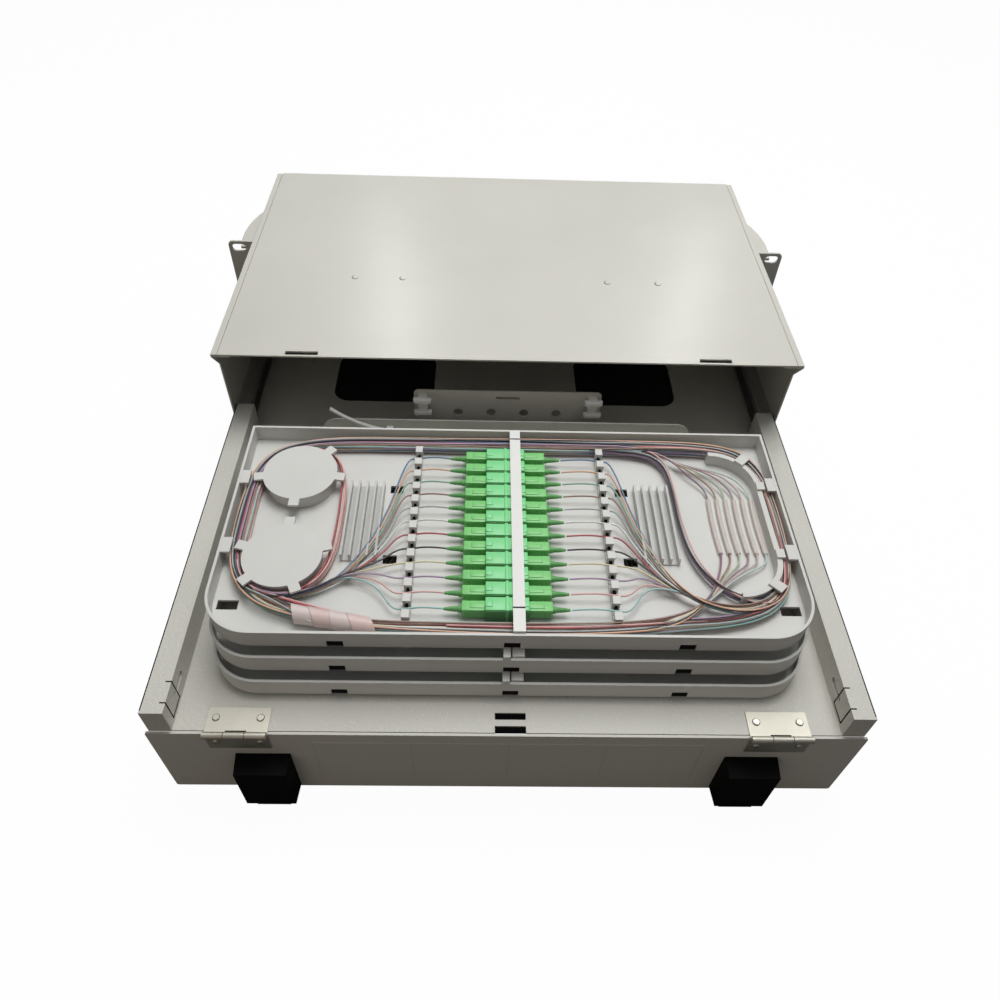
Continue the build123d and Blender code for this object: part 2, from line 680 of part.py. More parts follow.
def cable_tie():
    """Nylon tie through the guide plate's slot, with its square head and a curved tail."""
    root_z = FLOOR_Z + TIE_Z + TIE_T / 2
    with BuildPart() as tie:
        with BuildSketch(across(FRONT + GUIDE_PLATE_Y)):
            with Locations((TIE_X, FLOOR_Z + TIE_Z)):
                Rectangle(TIE_HEAD, TIE_T)
        extrude(amount=SHEET + TIE_HEAD / 2)
        with BuildSketch(across(FRONT + GUIDE_PLATE_Y - SHEET)):
            with Locations((TIE_X, FLOOR_Z + TIE_Z)):
                Rectangle(TIE_HEAD, TIE_HEAD)
        extrude(amount=TIE_HEAD)
        with BuildSketch(across(FRONT + GUIDE_PLATE_Y - SHEET - TIE_T)):
            with BuildLine():
                tail = ThreePointArc((TIE_X, root_z),
                                     (TIE_X - TIE_TAIL_L / 2, root_z + TIE_TAIL_BOW * TIE_TAIL_RISE),
                                     (TIE_X - TIE_TAIL_L, root_z + TIE_TAIL_RISE))
                offset(tail, TIE_T, side=Side.LEFT)
            make_face()
        extrude(amount=TIE_T * 2)
    return keep(tie.part, "cable_tie")


def door_panel():
    """Flat front door, drilled for its hinge rivets and cut through under each latch's thumb pad."""
    with BuildPart() as panel:
        with BuildSketch(across(DOOR_INNER)) as outline:
            with Locations((0, DOOR_TOP)):
                Rectangle(DOOR_W, DOOR_H, align=(Align.CENTER, Align.MAX))
            fillet(outline.vertices(), DOOR_CORNER_R)
            with Locations((0, DOOR_RIVET_Z)):
                with GridLocations(2 * HINGE_X, 0, 2, 1):
                    with GridLocations(RIVET_PITCH, 0, 2, 1):
                        Circle(RIVET_R + SCREW_PLAY, mode=Mode.SUBTRACT)
            with Locations((0, THUMB_Z + LATCH_STROKE / 2)):
                with GridLocations(2 * LATCH_X, 0, 2, 1):
                    Rectangle(THUMB_W + 2 * BOLT_GAP, THUMB_H + LATCH_STROKE + 2 * BOLT_GAP,
                              mode=Mode.SUBTRACT)
        extrude(amount=-DOOR_T)
    return keep(panel.part, "door_panel")


def label_card():
    """Bare port-label card stuck on the door's inner face between the latches."""
    with BuildPart() as card:
        with BuildSketch(across(DOOR_INNER)):
            with Locations((0, DOOR_TOP - LABEL_DROP)):
                Rectangle(LABEL_W, LABEL_H, align=(Align.CENTER, Align.MAX))
        extrude(amount=LABEL_T)
    return keep(card.part, "label_card")


def latch_body(side):
    """Moulded latch case on the door's inner face, open to the door, with a mouth for the bolt."""
    centre = (SIDES[side] * LATCH_X, LATCH_Z + LATCH_H / 2)
    with BuildPart() as case:
        with BuildSketch(across(DOOR_INNER)):
            with Locations(centre):
                Rectangle(LATCH_W, LATCH_H)
        extrude(amount=LATCH_DEPTH, taper=LATCH_TAPER)
        with BuildSketch(across(DOOR_INNER)):
            with Locations(centre):
                Rectangle(LATCH_W - 2 * (LATCH_WALL + LATCH_ROOM), LATCH_H - 2 * (LATCH_WALL + LATCH_ROOM))
        extrude(amount=LATCH_DEPTH - LATCH_WALL / 2, mode=Mode.SUBTRACT)
        with BuildSketch(level(LATCH_Z, DOOR_INNER - BOLT_DEPTH + BOLT_GAP)):
            with Locations((centre[0], 0)):
                Rectangle(BOLT_W + 2 * BOLT_GAP, BOLT_T + 2 * BOLT_GAP, align=(Align.CENTER, Align.MAX))
        extrude(amount=LATCH_WALL + 2 * LATCH_ROOM, mode=Mode.SUBTRACT)
    return keep(case.part, f"latch_body_{side}")


def latch_bolt(side):
    """Sliding bolt: a flat tongue past the door's free edge and a thumb pad through the door."""
    x = SIDES[side] * LATCH_X
    with BuildPart() as bolt:
        with BuildSketch(across(DOOR_INNER - BOLT_DEPTH)):
            with Locations((x, BOLT_TIP)):
                Rectangle(BOLT_W, THUMB_Z + THUMB_H / 2 - BOLT_TIP, align=(Align.CENTER, Align.MIN))
        extrude(amount=BOLT_T)
        chamfer(bolt.edges().filter_by(Axis.X).group_by(Axis.Z)[0].sort_by(Axis.Y)[0], BOLT_T / 2)
        with BuildSketch(across(DOOR_INNER + DOOR_T + THUMB_OUT)):
            with Locations((x, THUMB_Z)):
                Rectangle(THUMB_W, THUMB_H)
        extrude(amount=DOOR_T + THUMB_OUT + BOLT_DEPTH)
    return keep(bolt.part, f"latch_bolt_{side}")


def latch_spring(side):
    """Return spring between the bolt and the closed end of the case, drawn as the tube that it fills."""
    with BuildPart() as spring:
        with BuildSketch(level(THUMB_Z + THUMB_H / 2, DOOR_INNER - SPRING_DEPTH)):
            with Locations((SIDES[side] * LATCH_X, 0)):
                Circle(SPRING_R)
                Circle(SPRING_R - 2 * SPRING_WIRE_R, mode=Mode.SUBTRACT)
        extrude(amount=LATCH_Z + LATCH_H - LATCH_WALL - LATCH_ROOM - THUMB_Z - THUMB_H / 2)
    return keep(spring.part, f"latch_spring_{side}")


def tray_rear(k):
    """Depth of the rear edge of tray k, counted from the bottom tray."""
    return FRONT - TOP_TRAY_REAR - (TRAYS - 1 - k) * TRAY_STEP


def tray_bottom(k):
    """Height of the underside of tray k."""
    return FLOOR_Z + TRAY_FEET + k * TRAY_PITCH


def tray_outline(plane, inset):
    """Tray outline drawn in from its edge by inset: round front corners, chamfered rear corners."""
    with BuildSketch(plane) as outline:
        Rectangle(TRAY_W - 2 * inset, TRAY_D - 2 * inset)
        corners = outline.vertices().group_by(Axis.Y)
        fillet(corners[0], TRAY_FRONT_R - inset)
        chamfer(corners[-1], TRAY_CHAMFER - inset * (2 - 2 ** 0.5))
    return outline.sketch


def tray_floor_openings(plane):
    """Cuts through the open tray: floor windows, corner openings and the notches under the front wall."""
    with BuildSketch(plane) as windows:
        with Locations((0, LAYOUT_Y)):
            with GridLocations(2 * FLOOR_WINDOW_X, FLOOR_WINDOW_PITCH, 2, 2):
                Rectangle(FLOOR_WINDOW_W, FLOOR_WINDOW_L)
        for sign in SIDES.values():
            with Locations((sign * CORNER_HOLE_X, CORNER_HOLE_Y)):
                Rectangle(CORNER_HOLE_W, CORNER_HOLE_L)
    extrude(windows.sketch, amount=TRAY_FLOOR, mode=Mode.SUBTRACT)
    with BuildSketch(plane) as notches:
        with Locations((0, -TRAY_D)):
            with GridLocations(NOTCH_PITCH, 0, 3, 1):
                Rectangle(NOTCH_W, 2 * TRAY_WALL)
    extrude(notches.sketch, amount=NOTCH_H, mode=Mode.SUBTRACT)


def fibre_guides(k):
    """Pieces fixed in tray k that lead the fibres: spools, U-shaped guide, combs and wall tabs."""
    top = level(tray_bottom(k) + TRAY_FLOOR, tray_rear(k))
    spools = {LAYOUT_Y + SPOOL_PITCH / 2: REAR_FINGERS, LAYOUT_Y - SPOOL_PITCH / 2: FRONT_FINGERS}
    comb_l = ADAPTERS * ADAPTER_PITCH + COMB_TOOTH
    with BuildPart() as guides:
        with BuildSketch(top):
            for y in spools:
                with Locations((SPOOL_X, y)):
                    Circle(SPOOL_R - SPOOL_LID)
        extrude(amount=SPOOL_H)
        with BuildSketch(top.offset(SPOOL_H)):
            for y, turns in spools.items():
                with Locations((SPOOL_X, y)):
                    Circle(SPOOL_R)
                for turn in turns:
                    with Locations(Location((SPOOL_X, y), turn)):
                        Rectangle(SPOOL_R + FINGER_L, FINGER_W, align=(Align.MIN, Align.CENTER))
        extrude(amount=TRAY_FLOOR)
        with BuildSketch(top):
            with Locations((GUIDE_X, LAYOUT_Y)):
                SlotOverall(GUIDE_L, GUIDE_W, rotation=90)
                SlotOverall(GUIDE_L - 2 * GUIDE_WALL, GUIDE_W - 2 * GUIDE_WALL, rotation=90,
                            mode=Mode.SUBTRACT)
                Rectangle(GUIDE_W, GUIDE_L, align=(Align.MAX, Align.CENTER), mode=Mode.SUBTRACT)
        extrude(amount=GUIDE_H)
        with BuildSketch(top.offset(GUIDE_H)):
            with Locations((GUIDE_X + GUIDE_W / 2 - GUIDE_WALL, LAYOUT_Y)):
                with GridLocations(0, TAB_PITCH_Y, 1, 2):
                    Rectangle(GUIDE_WALL + GUIDE_FINGER_L, FINGER_W, align=(Align.MIN, Align.CENTER))
            for sign in (-1, 1):
                with Locations(Location((GUIDE_X, LAYOUT_Y + sign * (GUIDE_L - GUIDE_W) / 2), sign * 45)):
                    with Locations((GUIDE_W / 2 - GUIDE_WALL, 0)):
                        Rectangle(GUIDE_WALL + FINGER_L, FINGER_W, align=(Align.MIN, Align.CENTER))
        extrude(amount=TRAY_FLOOR)
        with BuildSketch(top):
            with Locations((0, COMB_Y)):
                with GridLocations(2 * COMB_X, 0, 2, 1):
                    Rectangle(COMB_W, comb_l)
        extrude(amount=COMB_BASE)
        with BuildSketch(top.offset(COMB_BASE)):
            with Locations((0, COMB_Y)):
                with GridLocations(2 * COMB_X, ADAPTER_PITCH, 2, ADAPTERS + 1):
                    Rectangle(COMB_W, COMB_TOOTH)
        extrude(amount=COMB_H - COMB_BASE)
        with BuildSketch(top.offset(COMB_H)):
            with Locations((0, COMB_Y)):
                with GridLocations(2 * COMB_X, ADAPTER_PITCH, 2, ADAPTERS + 1):
                    Rectangle(COMB_W, HOOK_W)
        extrude(amount=HOOK_T)
        with BuildSketch(top.offset(TRAY_H - 2 * TRAY_FLOOR)):
            for sign, inward in ((-1, Align.MIN), (1, Align.MAX)):
                with Locations((sign * (TRAY_W / 2 - TRAY_WALL), LAYOUT_Y)):
                    with GridLocations(0, TAB_PITCH_Y, 1, 2):
                        Rectangle(TAB_REACH, TAB_SIZE, align=(inward, Align.CENTER))
        extrude(amount=TRAY_FLOOR)
    return keep(guides.part, f"fibre_guides_{TRAY_NAMES[k]}")


def pivot_lugs(k, plane_y, z):
    """Pairs of drilled lugs behind tray k that straddle the arms of the tray below."""
    for sign in SIDES.values():
        for edge in (-1, 1):
            x = sign * arm_x(k - 1) + edge * (ARM_W / 2 + LUG_GAP) - (LUG_W if edge < 0 else 0)
            with BuildSketch(along(x)) as lug:
                with Locations((plane_y + PIVOT_BACK, z + PIVOT_UP)):
                    Circle(ARM_R)
                    Rectangle(PIVOT_BACK, 2 * ARM_R, align=(Align.MAX, Align.CENTER))
                    Circle(ARM_PIN_R + PIN_PLAY, mode=Mode.SUBTRACT)
            extrude(lug.sketch, amount=LUG_W)


def arm_x(k):
    """Distance from the middle to the pivot arms that stand on tray k."""
    return ARM_X - k * ARM_SHIFT


def splice_tray(k):
    """One moulded tray with its walls and floor openings, its feet or pivot lugs, and its front rest."""
    y = tray_rear(k)
    z = tray_bottom(k)
    with BuildPart() as tray:
        extrude(tray_outline(level(z, y - TRAY_D / 2), 0), amount=TRAY_H)
        inside = tray_outline(level(z + TRAY_FLOOR, y - TRAY_D / 2), TRAY_WALL)
        extrude(inside, amount=TRAY_H, mode=Mode.SUBTRACT)
        tray_floor_openings(level(z, y))
        if k > 0:
            pivot_lugs(k, y, z)
        else:
            with BuildSketch(level(z, y - TRAY_D / 2)):
                with GridLocations(FOOT_X, FOOT_Y, 2, 2):
                    Circle(FOOT_R)
            extrude(amount=-TRAY_FEET)
        if k < TRAYS - 1:
            with BuildSketch(level(z + TRAY_H - TRAY_FLOOR, y - TRAY_D)):
                with Locations((REST_X, 0)):
                    Rectangle(REST_W, REST_L, align=(Align.CENTER, Align.MIN))
            extrude(amount=TRAY_PITCH - TRAY_H - SEAM_GAP + TRAY_FLOOR)
    return keep(tray.part, f"tray_{TRAY_NAMES[k]}")


def pivot_arms(k):
    """Arms fixed to the back of tray k, with stub pins on which the next tray up turns."""
    y = tray_rear(k)
    z = tray_bottom(k)
    pivot = (y + TRAY_STEP + PIVOT_BACK, z + TRAY_PITCH + PIVOT_UP)
    with BuildPart() as arms:
        for sign in SIDES.values():
            x = sign * arm_x(k) - ARM_W / 2
            with BuildSketch(along(x)):
                with BuildLine():
                    Polyline((y, z + TRAY_FLOOR), (pivot[0] + ARM_R, z + TRAY_H / 2),
                             (pivot[0] + ARM_R, pivot[1]), (pivot[0] - ARM_R, pivot[1]),
                             (pivot[0] - ARM_R, z + TRAY_H), (y, z + TRAY_H), close=True)
                make_face()
                with Locations(pivot):
                    Circle(ARM_R)
            extrude(amount=ARM_W)
            with BuildSketch(along(x - LUG_W - LUG_GAP)):
                with Locations(pivot):
                    Circle(ARM_PIN_R)
            extrude(amount=ARM_W + 2 * (LUG_W + LUG_GAP))
    return keep(arms.part, f"pivot_arms_{TRAY_NAMES[k]}")


def adapters(k):
    """Row of coupler bodies across the middle of tray k, each with a flange round its waist."""
    base = tray_bottom(k) + TRAY_FLOOR
    middle = tray_rear(k) + COMB_Y
    with BuildPart() as row:
        with BuildSketch(along(ADAPTER_X - ADAPTER_L / 2)):
            with Locations((middle, base)):
                with GridLocations(ADAPTER_PITCH, 0, ADAPTERS, 1):
                    Rectangle(ADAPTER_W, ADAPTER_H - WAIST, align=(Align.CENTER, Align.MIN))
        extrude(amount=ADAPTER_L)
        with BuildSketch(along(ADAPTER_X - WAIST_L / 2)):
            with Locations((middle, base)):
                with GridLocations(ADAPTER_PITCH, 0, ADAPTERS, 1):
                    Rectangle(ADAPTER_W + 2 * WAIST, ADAPTER_H, align=(Align.CENTER, Align.MIN))
        extrude(amount=WAIST_L)
    return keep(row.part, f"adapters_{TRAY_NAMES[k]}")


def plugs(k):
    """Connector plugs on both ends of the adapters of tray k, each with its tapered boot."""
    axis_z = tray_bottom(k) + TRAY_FLOOR + (ADAPTER_H - WAIST) / 2
    middle = tray_rear(k) + COMB_Y
    with BuildPart() as row:
        for sign in (-1, 1):
            face = along(ADAPTER_X + sign * ADAPTER_L / 2)
            with BuildSketch(face):
                with Locations((middle, axis_z)):
                    with GridLocations(ADAPTER_PITCH, 0, ADAPTERS, 1):
                        Rectangle(PLUG_W, PLUG_H)
            extrude(amount=sign * PLUG_OUT)
            with BuildSketch(face.offset(sign * PLUG_OUT)):
                with Locations((middle, axis_z)):
                    with GridLocations(ADAPTER_PITCH, 0, ADAPTERS, 1):
                        RegularPolygon(BOOT_R, 6)
            extrude(amount=sign * BOOT_L, taper=BOOT_TAPER)
    return keep(row.part, f"plugs_{TRAY_NAMES[k]}")


def clamp_bar(k):
    """White bar across the adapters of tray k, with a leg down to the tray floor at each end."""
    base = tray_bottom(k) + TRAY_FLOOR
    y = tray_rear(k) - TRAY_WALL - SEAM_GAP
    front = tray_rear(k) - TRAY_D + TRAY_WALL + SEAM_GAP
    under = base + ADAPTER_H
    with BuildPart() as bar:
        with BuildSketch(along(BAR_X - BAR_W / 2)):
            with BuildLine():
                Polyline((y, base), (y, under + BAR_T), (front, under + BAR_T), (front, base),
                         (front + BAR_LEG, base),
                         (front + BAR_LEG, under), (y - BAR_LEG, under), (y - BAR_LEG, base), close=True)
            make_face()
        extrude(amount=BAR_W)
    return keep(bar.part, f"clamp_bar_{TRAY_NAMES[k]}")


def splice_holders(k):
    """Two ribbed splice holders lying on the floor of tray k."""
    base = level(tray_bottom(k) + TRAY_FLOOR, tray_rear(k) + LAYOUT_Y)
    with BuildPart() as holders:
        with BuildSketch(base):
            with GridLocations(2 * HOLDER_X, 0, 2, 1):
                Rectangle(HOLDER_W, HOLDER_L)
        extrude(amount=HOLDER_BASE)
        with BuildSketch(base.offset(HOLDER_BASE)):
            with GridLocations(2 * HOLDER_X, 0, 2, 1):
                with GridLocations((HOLDER_W - HOLDER_RIB) / (HOLDER_RIBS - 1), 0, HOLDER_RIBS, 1):
                    Rectangle(HOLDER_RIB, HOLDER_L)
        extrude(amount=HOLDER_H - HOLDER_BASE)
    return keep(holders.part, f"splice_holders_{TRAY_NAMES[k]}")


def splice_sleeves(k):
    """Heat-shrink sleeves lying side by side inside the U-shaped guide of tray k."""
    height = tray_bottom(k) + TRAY_FLOOR + SLEEVE_R
    with BuildPart() as sleeves:
        with BuildSketch(across(tray_rear(k) + LAYOUT_Y + SLEEVE_L / 2)):
            with Locations((SLEEVE_X, height)):
                with GridLocations(SLEEVE_PITCH, 0, SLEEVES, 1):
                    RegularPolygon(SLEEVE_R, 8, major_radius=False, rotation=180 / 8)
        extrude(amount=SLEEVE_L)
    return keep(sleeves.part, f"splice_sleeves_{TRAY_NAMES[k]}")


def fibres(k):
    """The fibre bundles of tray k: one loop round the spools and one round the U-shaped guide."""
    z = tray_bottom(k) + TRAY_FLOOR + FIBRE_R + SEAM_GAP
    back = tray_rear(k) - FIBRE_INSET
    front = tray_rear(k) - TRAY_D + FIBRE_INSET
    reach = TRAY_W / 2 - FIBRE_INSET
    with BuildPart() as bundles:
        for sign in SIDES.values():
            points = [(sign * FIBRE_START, back, z), (sign * reach, back, z),
                      (sign * reach, front, z), (sign * FIBRE_START, front, z)]
            with BuildLine() as route:
                FilletPolyline(*points, radius=FIBRE_BEND)
            with BuildSketch(Plane(origin=points[0], x_dir=(0, 1, 0), z_dir=(sign, 0, 0))):
                RegularPolygon(FIBRE_R, 6)
            sweep(path=route.wires()[0])
    return keep(bundles.part, f"fibres_{TRAY_NAMES[k]}")


housing_base()
housing_rear()
top_cover()
cover_screws()
ear_screws()
cable_grommets()
drawer_pan()
hinge_leaves()
hinge_pins()
hinge_rivets()
cable_bracket()
guide_plate()
cable_clips()
cable_tie()
door_panel()
label_card()
for side_name in SIDES:
    housing_side(side_name)
    rack_ear(side_name)
    slides(side_name)
    latch_body(side_name)
    latch_bolt(side_name)
    latch_spring(side_name)
for number in range(TRAYS):
    splice_tray(number)
    fibre_guides(number)
    adapters(number)
    plugs(number)
    clamp_bar(number)
    splice_holders(number)
    splice_sleeves(number)
    fibres(number)
    if number < TRAYS - 1:
        pivot_arms(number)
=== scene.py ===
"""Looks of a rack-mounted optical distribution frame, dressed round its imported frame.

Lengths are metres. Every finish reads Object coordinates, and every new piece has its place in its mesh.
"""

import math
import random

import bmesh
import bpy
from mathutils import Matrix, Vector


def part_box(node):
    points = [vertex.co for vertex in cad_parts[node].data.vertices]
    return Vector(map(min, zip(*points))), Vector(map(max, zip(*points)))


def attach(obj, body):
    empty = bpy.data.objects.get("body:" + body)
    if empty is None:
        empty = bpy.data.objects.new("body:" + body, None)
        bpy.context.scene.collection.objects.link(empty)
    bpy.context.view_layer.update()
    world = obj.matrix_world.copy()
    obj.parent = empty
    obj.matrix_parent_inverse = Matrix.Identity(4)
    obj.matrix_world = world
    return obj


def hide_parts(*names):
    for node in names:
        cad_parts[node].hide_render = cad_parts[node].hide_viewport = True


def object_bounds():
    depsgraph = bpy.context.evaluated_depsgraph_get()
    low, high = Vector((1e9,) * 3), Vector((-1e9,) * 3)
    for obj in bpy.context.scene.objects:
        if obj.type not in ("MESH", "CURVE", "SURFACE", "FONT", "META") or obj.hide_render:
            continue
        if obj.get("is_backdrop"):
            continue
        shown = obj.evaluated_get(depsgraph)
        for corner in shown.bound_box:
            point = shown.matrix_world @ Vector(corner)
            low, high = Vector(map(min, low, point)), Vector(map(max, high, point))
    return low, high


bl_info = {
    "name": "Fibre distribution drawer",
    "version": (1, 0, 0),
    "blender": (4, 5, 0),
    "location": "3D View > Sidebar > Fibre drawer",
    "description": "Finishes and dresses a rack-mounted fibre distribution drawer",
    "category": "Object",
}

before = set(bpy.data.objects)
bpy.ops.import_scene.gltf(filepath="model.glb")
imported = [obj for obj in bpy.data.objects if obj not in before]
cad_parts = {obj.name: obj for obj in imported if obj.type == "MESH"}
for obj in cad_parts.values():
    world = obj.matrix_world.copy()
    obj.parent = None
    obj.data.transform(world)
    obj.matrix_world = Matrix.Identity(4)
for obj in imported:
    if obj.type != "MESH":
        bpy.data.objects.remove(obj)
CAD_LOW, CAD_HIGH = (tuple(corner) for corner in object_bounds())
MM = 0.001
TRAYS = {"bottom": "drawer", "middle": "tray_middle", "top": "tray_top"}
SIDES = {"left": -1, "right": 1}
PHOTO_SIZE = 1000

# Stage. Each light has its place, its aim, its width and its height.
KEY = ((0.16, 0.14, 1.40), (0.0, -0.20, 0.0), 0.9, 0.9)
FILL = ((-0.45, -1.40, 0.30), (0.0, -0.30, 0.0), 0.9, 0.9)
LAMP_LEFT = ((-0.23, 1.02, 0.98), (-0.09, 0.0, 0.04), 0.06, 0.6)
LAMP_RIGHT = ((0.46, 0.98, 0.97), (0.15, 0.0, 0.04), 0.06, 0.6)
HORIZON = 0.12
FLOOR_SIZE = 4.0
FLOOR_GAP = 0.25 * MM
FLOOR_GLOW = 0.97
# Dark card of painted shade under the housing: its insets, its gap and its thickness
SHADOW_CARD_INSET = 22.0 * MM
SHADOW_CARD_REAR_INSET = 4.0 * MM
SHADOW_CARD_GAP = 0.4 * MM
SHADOW_CARD_T = 0.6 * MM

# Cover and drawer
MARK_T = 0.1 * MM
WELDS_X = (-126.0 * MM, -87.0 * MM, 82.0 * MM, 124.0 * MM)
WELD_Y = -53.0 * MM
WELD_R = 2.9 * MM
WELD_CORE_R = 2.5 * MM
WELD_CORE_TOP_R = 2.4 * MM
WELD_CORE_H = 0.16 * MM
WELD_CORE_SHIFT = Vector((0.5, 0.4, 0.0)) * MM
FINGER_SLOT_L = 19.0 * MM
FINGER_SLOT_MARGIN = 1.0 * MM
FINGER_SLOTS_Y = (0.3 * MM, 15.0 * MM)
FINGER_SHADE_Z = (-0.25 * MM, -0.05 * MM)
HINGE_W = 38.0 * MM
KNUCKLE_GAP_Y = (2.2 * MM, 3.8 * MM)
LEAF_T = 1.1 * MM
CHANNEL_X = 203.9 * MM
# Width of the painted shadow line along each channel's outer edge
CHANNEL_EDGE_SHADOW = 0.7 * MM
CHANNEL_START = 2.0 * MM
TAB_Y = (7.0 * MM, 21.0 * MM)
TAB_LOW = 2.5 * MM
TAB_FOOT_Z = (2.3 * MM, 3.1 * MM)
TAB_TOP_L = 3.5 * MM
SLIT_HALF_W = 0.4 * MM
SLIT_T = 0.15 * MM

# Trays
COUPLERS = 12
SLEEVES = 6
TRAY_D = 177.0 * MM
TRAY_FLOOR = 1.6 * MM
NOTCH_X = 106.0 * MM
NOTCH_HALF_W = 4.9 * MM
NOTCH_SHADE_Y = (0.7 * MM, 1.6 * MM)
NOTCH_SHADE_Z = (0.1 * MM, 5.9 * MM)
COMB_X = 65.0 * MM
COMB_GAP_HALF_W = 0.9 * MM
COMB_GAP_Z = (2.0 * MM, 4.6 * MM)
BAR_JOINT_FRONT = 17.0 * MM
BAR_JOINT_REAR = 9.0 * MM
BAR_JOINT_HALF_W = 0.5 * MM
COUPLER_GAP = 1.0 * MM
PLUG_OUT = 14.5 * MM
PLUG_W = 7.4 * MM
SLEEVE_X = 154.5 * MM
SLEEVE_PITCH = 6.0 * MM
SLEEVE_BOW = 0.9 * MM
SLEEVE_CUTS = 9
ROD_INSET = 2.0 * MM
ROD_SHARE = 0.42
ROD_DROP = 0.4


def corners(node):
    """Lowest and highest corner of a frame node."""
    low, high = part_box(node)
    return Vector(low), Vector(high)


class Value:
    """A shader socket in an expression: arithmetic on it adds Math nodes to its tree."""

    def __init__(self, finish, socket):
        self.finish = finish
        self.socket = socket

    def math(self, operation, *others):
        inputs = dict(enumerate(others, 1))
        return self.finish.node("ShaderNodeMath", {"operation": operation}, {0: self, **inputs})

    def __add__(self, other):
        return self.math("ADD", other)

    def __mul__(self, other):
        return self.math("MULTIPLY", other)

    def __rsub__(self, other):
        return self.finish.node("ShaderNodeMath", {"operation": "SUBTRACT"}, {0: other, 1: self})

    __radd__ = __add__

    def above(self, edge):
        return self.math("GREATER_THAN", edge)


class Finish:
    """A material in the making: its Principled shader and one method that adds any node."""

    def __init__(self, name, **fixed):
        self.material = bpy.data.materials.new(name)
        self.material.use_nodes = True
        self.tree = self.material.node_tree
        self.shader = self.tree.nodes["Principled BSDF"]
        for socket, value in fixed.items():
            self.shader.inputs[socket.replace("_", " ")].default_value = value

    def node(self, kind, settings, sockets, output=0):
        made = self.tree.nodes.new(kind)
        for key, value in settings.items():
            setattr(made, key, value)
        for key, value in sockets.items():
            self.put(made.inputs[key], value)
        return Value(self, made.outputs[output])

    def put(self, socket, value):
        if isinstance(value, Value):
            self.tree.links.new(value.socket, socket)
        else:
            socket.default_value = value

    def set(self, **sockets):
        for key, value in sockets.items():
            self.put(self.shader.inputs[key.replace("_", " ")], value)
        return self

    def place(self, stretch=(1, 1, 1)):
        """Object coordinates, stretched along the axes."""
        coords = self.node("ShaderNodeTexCoord", {}, {}, "Object")
        return self.node("ShaderNodeMapping", {}, {"Vector": coords, "Scale": stretch})

    def noise(self, scale, detail=3.0, rough=0.5, stretch=(1, 1, 1)):
        sockets = {"Vector": self.place(stretch), "Scale": scale, "Detail": detail, "Roughness": rough}
        return self.node("ShaderNodeTexNoise", {}, sockets)

    def speckle(self, scale):
        return self.node("ShaderNodeTexVoronoi", {}, {"Vector": self.place(), "Scale": scale})

    def blend(self, amount, first, second):
        """Colour that goes from first to second as amount goes from 0 to 1."""
        return self.node("ShaderNodeMix", {"data_type": "RGBA"}, {0: amount, 6: first, 7: second}, 2)

    def bump(self, height, strength, distance):
        return self.node("ShaderNodeBump", {}, {"Height": height, "Strength": strength, "Distance": distance})

    def soft_edges(self, radius, normal=None):
        """Normal that rounds off sharp sheet edges."""
        sockets = {"Radius": radius}
        if normal is not None:
            sockets["Normal"] = normal
        return self.node("ShaderNodeBevel", {"samples": 4}, sockets)


def shade(colour, factor):
    """A colour made lighter or darker by a factor."""
    return tuple(min(1.0, c * factor) for c in colour[:3]) + (1.0,)


class DrawerFinishes(bpy.types.PropertyGroup):
    """Colours of the painted, moulded and plated pieces."""

    paint: bpy.props.FloatVectorProperty(
        name="Powder coat", description="Colour of the painted sheet steel", subtype="COLOR", size=4,
        default=(0.60, 0.59, 0.535, 1.0), min=0.0, max=1.0)
    tray: bpy.props.FloatVectorProperty(
        name="Tray plastic", description="Colour of the moulded splice trays", subtype="COLOR", size=4,
        default=(0.63, 0.63, 0.60, 1.0), min=0.0, max=1.0)
    nylon: bpy.props.FloatVectorProperty(
        name="White nylon", description="Colour of clips, ties and clamp bars", subtype="COLOR", size=4,
        default=(0.76, 0.76, 0.73, 1.0), min=0.0, max=1.0)
    coupler: bpy.props.FloatVectorProperty(
        name="Coupler green", description="Colour of the fibre couplers", subtype="COLOR", size=4,
        default=(0.20, 0.68, 0.27, 1.0), min=0.0, max=1.0)
    plug: bpy.props.FloatVectorProperty(
        name="Plug green", description="Colour of the connector plugs and boots", subtype="COLOR", size=4,
        default=(0.19, 0.59, 0.175, 1.0), min=0.0, max=1.0)
    hinge: bpy.props.FloatVectorProperty(
        name="Hinge plating", description="Colour of the plated hinges", subtype="COLOR", size=4,
        default=(0.62, 0.60, 0.52, 1.0), min=0.0, max=1.0)
    zinc: bpy.props.FloatVectorProperty(
        name="Zinc", description="Colour of the slide rails and screws", subtype="COLOR", size=4,
        default=(0.62, 0.63, 0.64, 1.0), min=0.0, max=1.0)
    black: bpy.props.FloatVectorProperty(
        name="Black plastic", description="Colour of the latches and grommets", subtype="COLOR", size=4,
        default=(0.004, 0.004, 0.004, 1.0), min=0.0, max=1.0)


class DrawerFibres(bpy.types.PropertyGroup):
    """Sizes of the loose fibres in the trays."""

    thickness: bpy.props.FloatProperty(
        name="Fibre thickness", description="Diameter of one coated fibre", subtype="DISTANCE", unit="LENGTH",
        default=1.25 * MM, min=0.2 * MM, max=2 * MM)
    seed: bpy.props.IntProperty(
        name="Seed", description="Seed of the fibres' uneven lay", default=7, min=0)


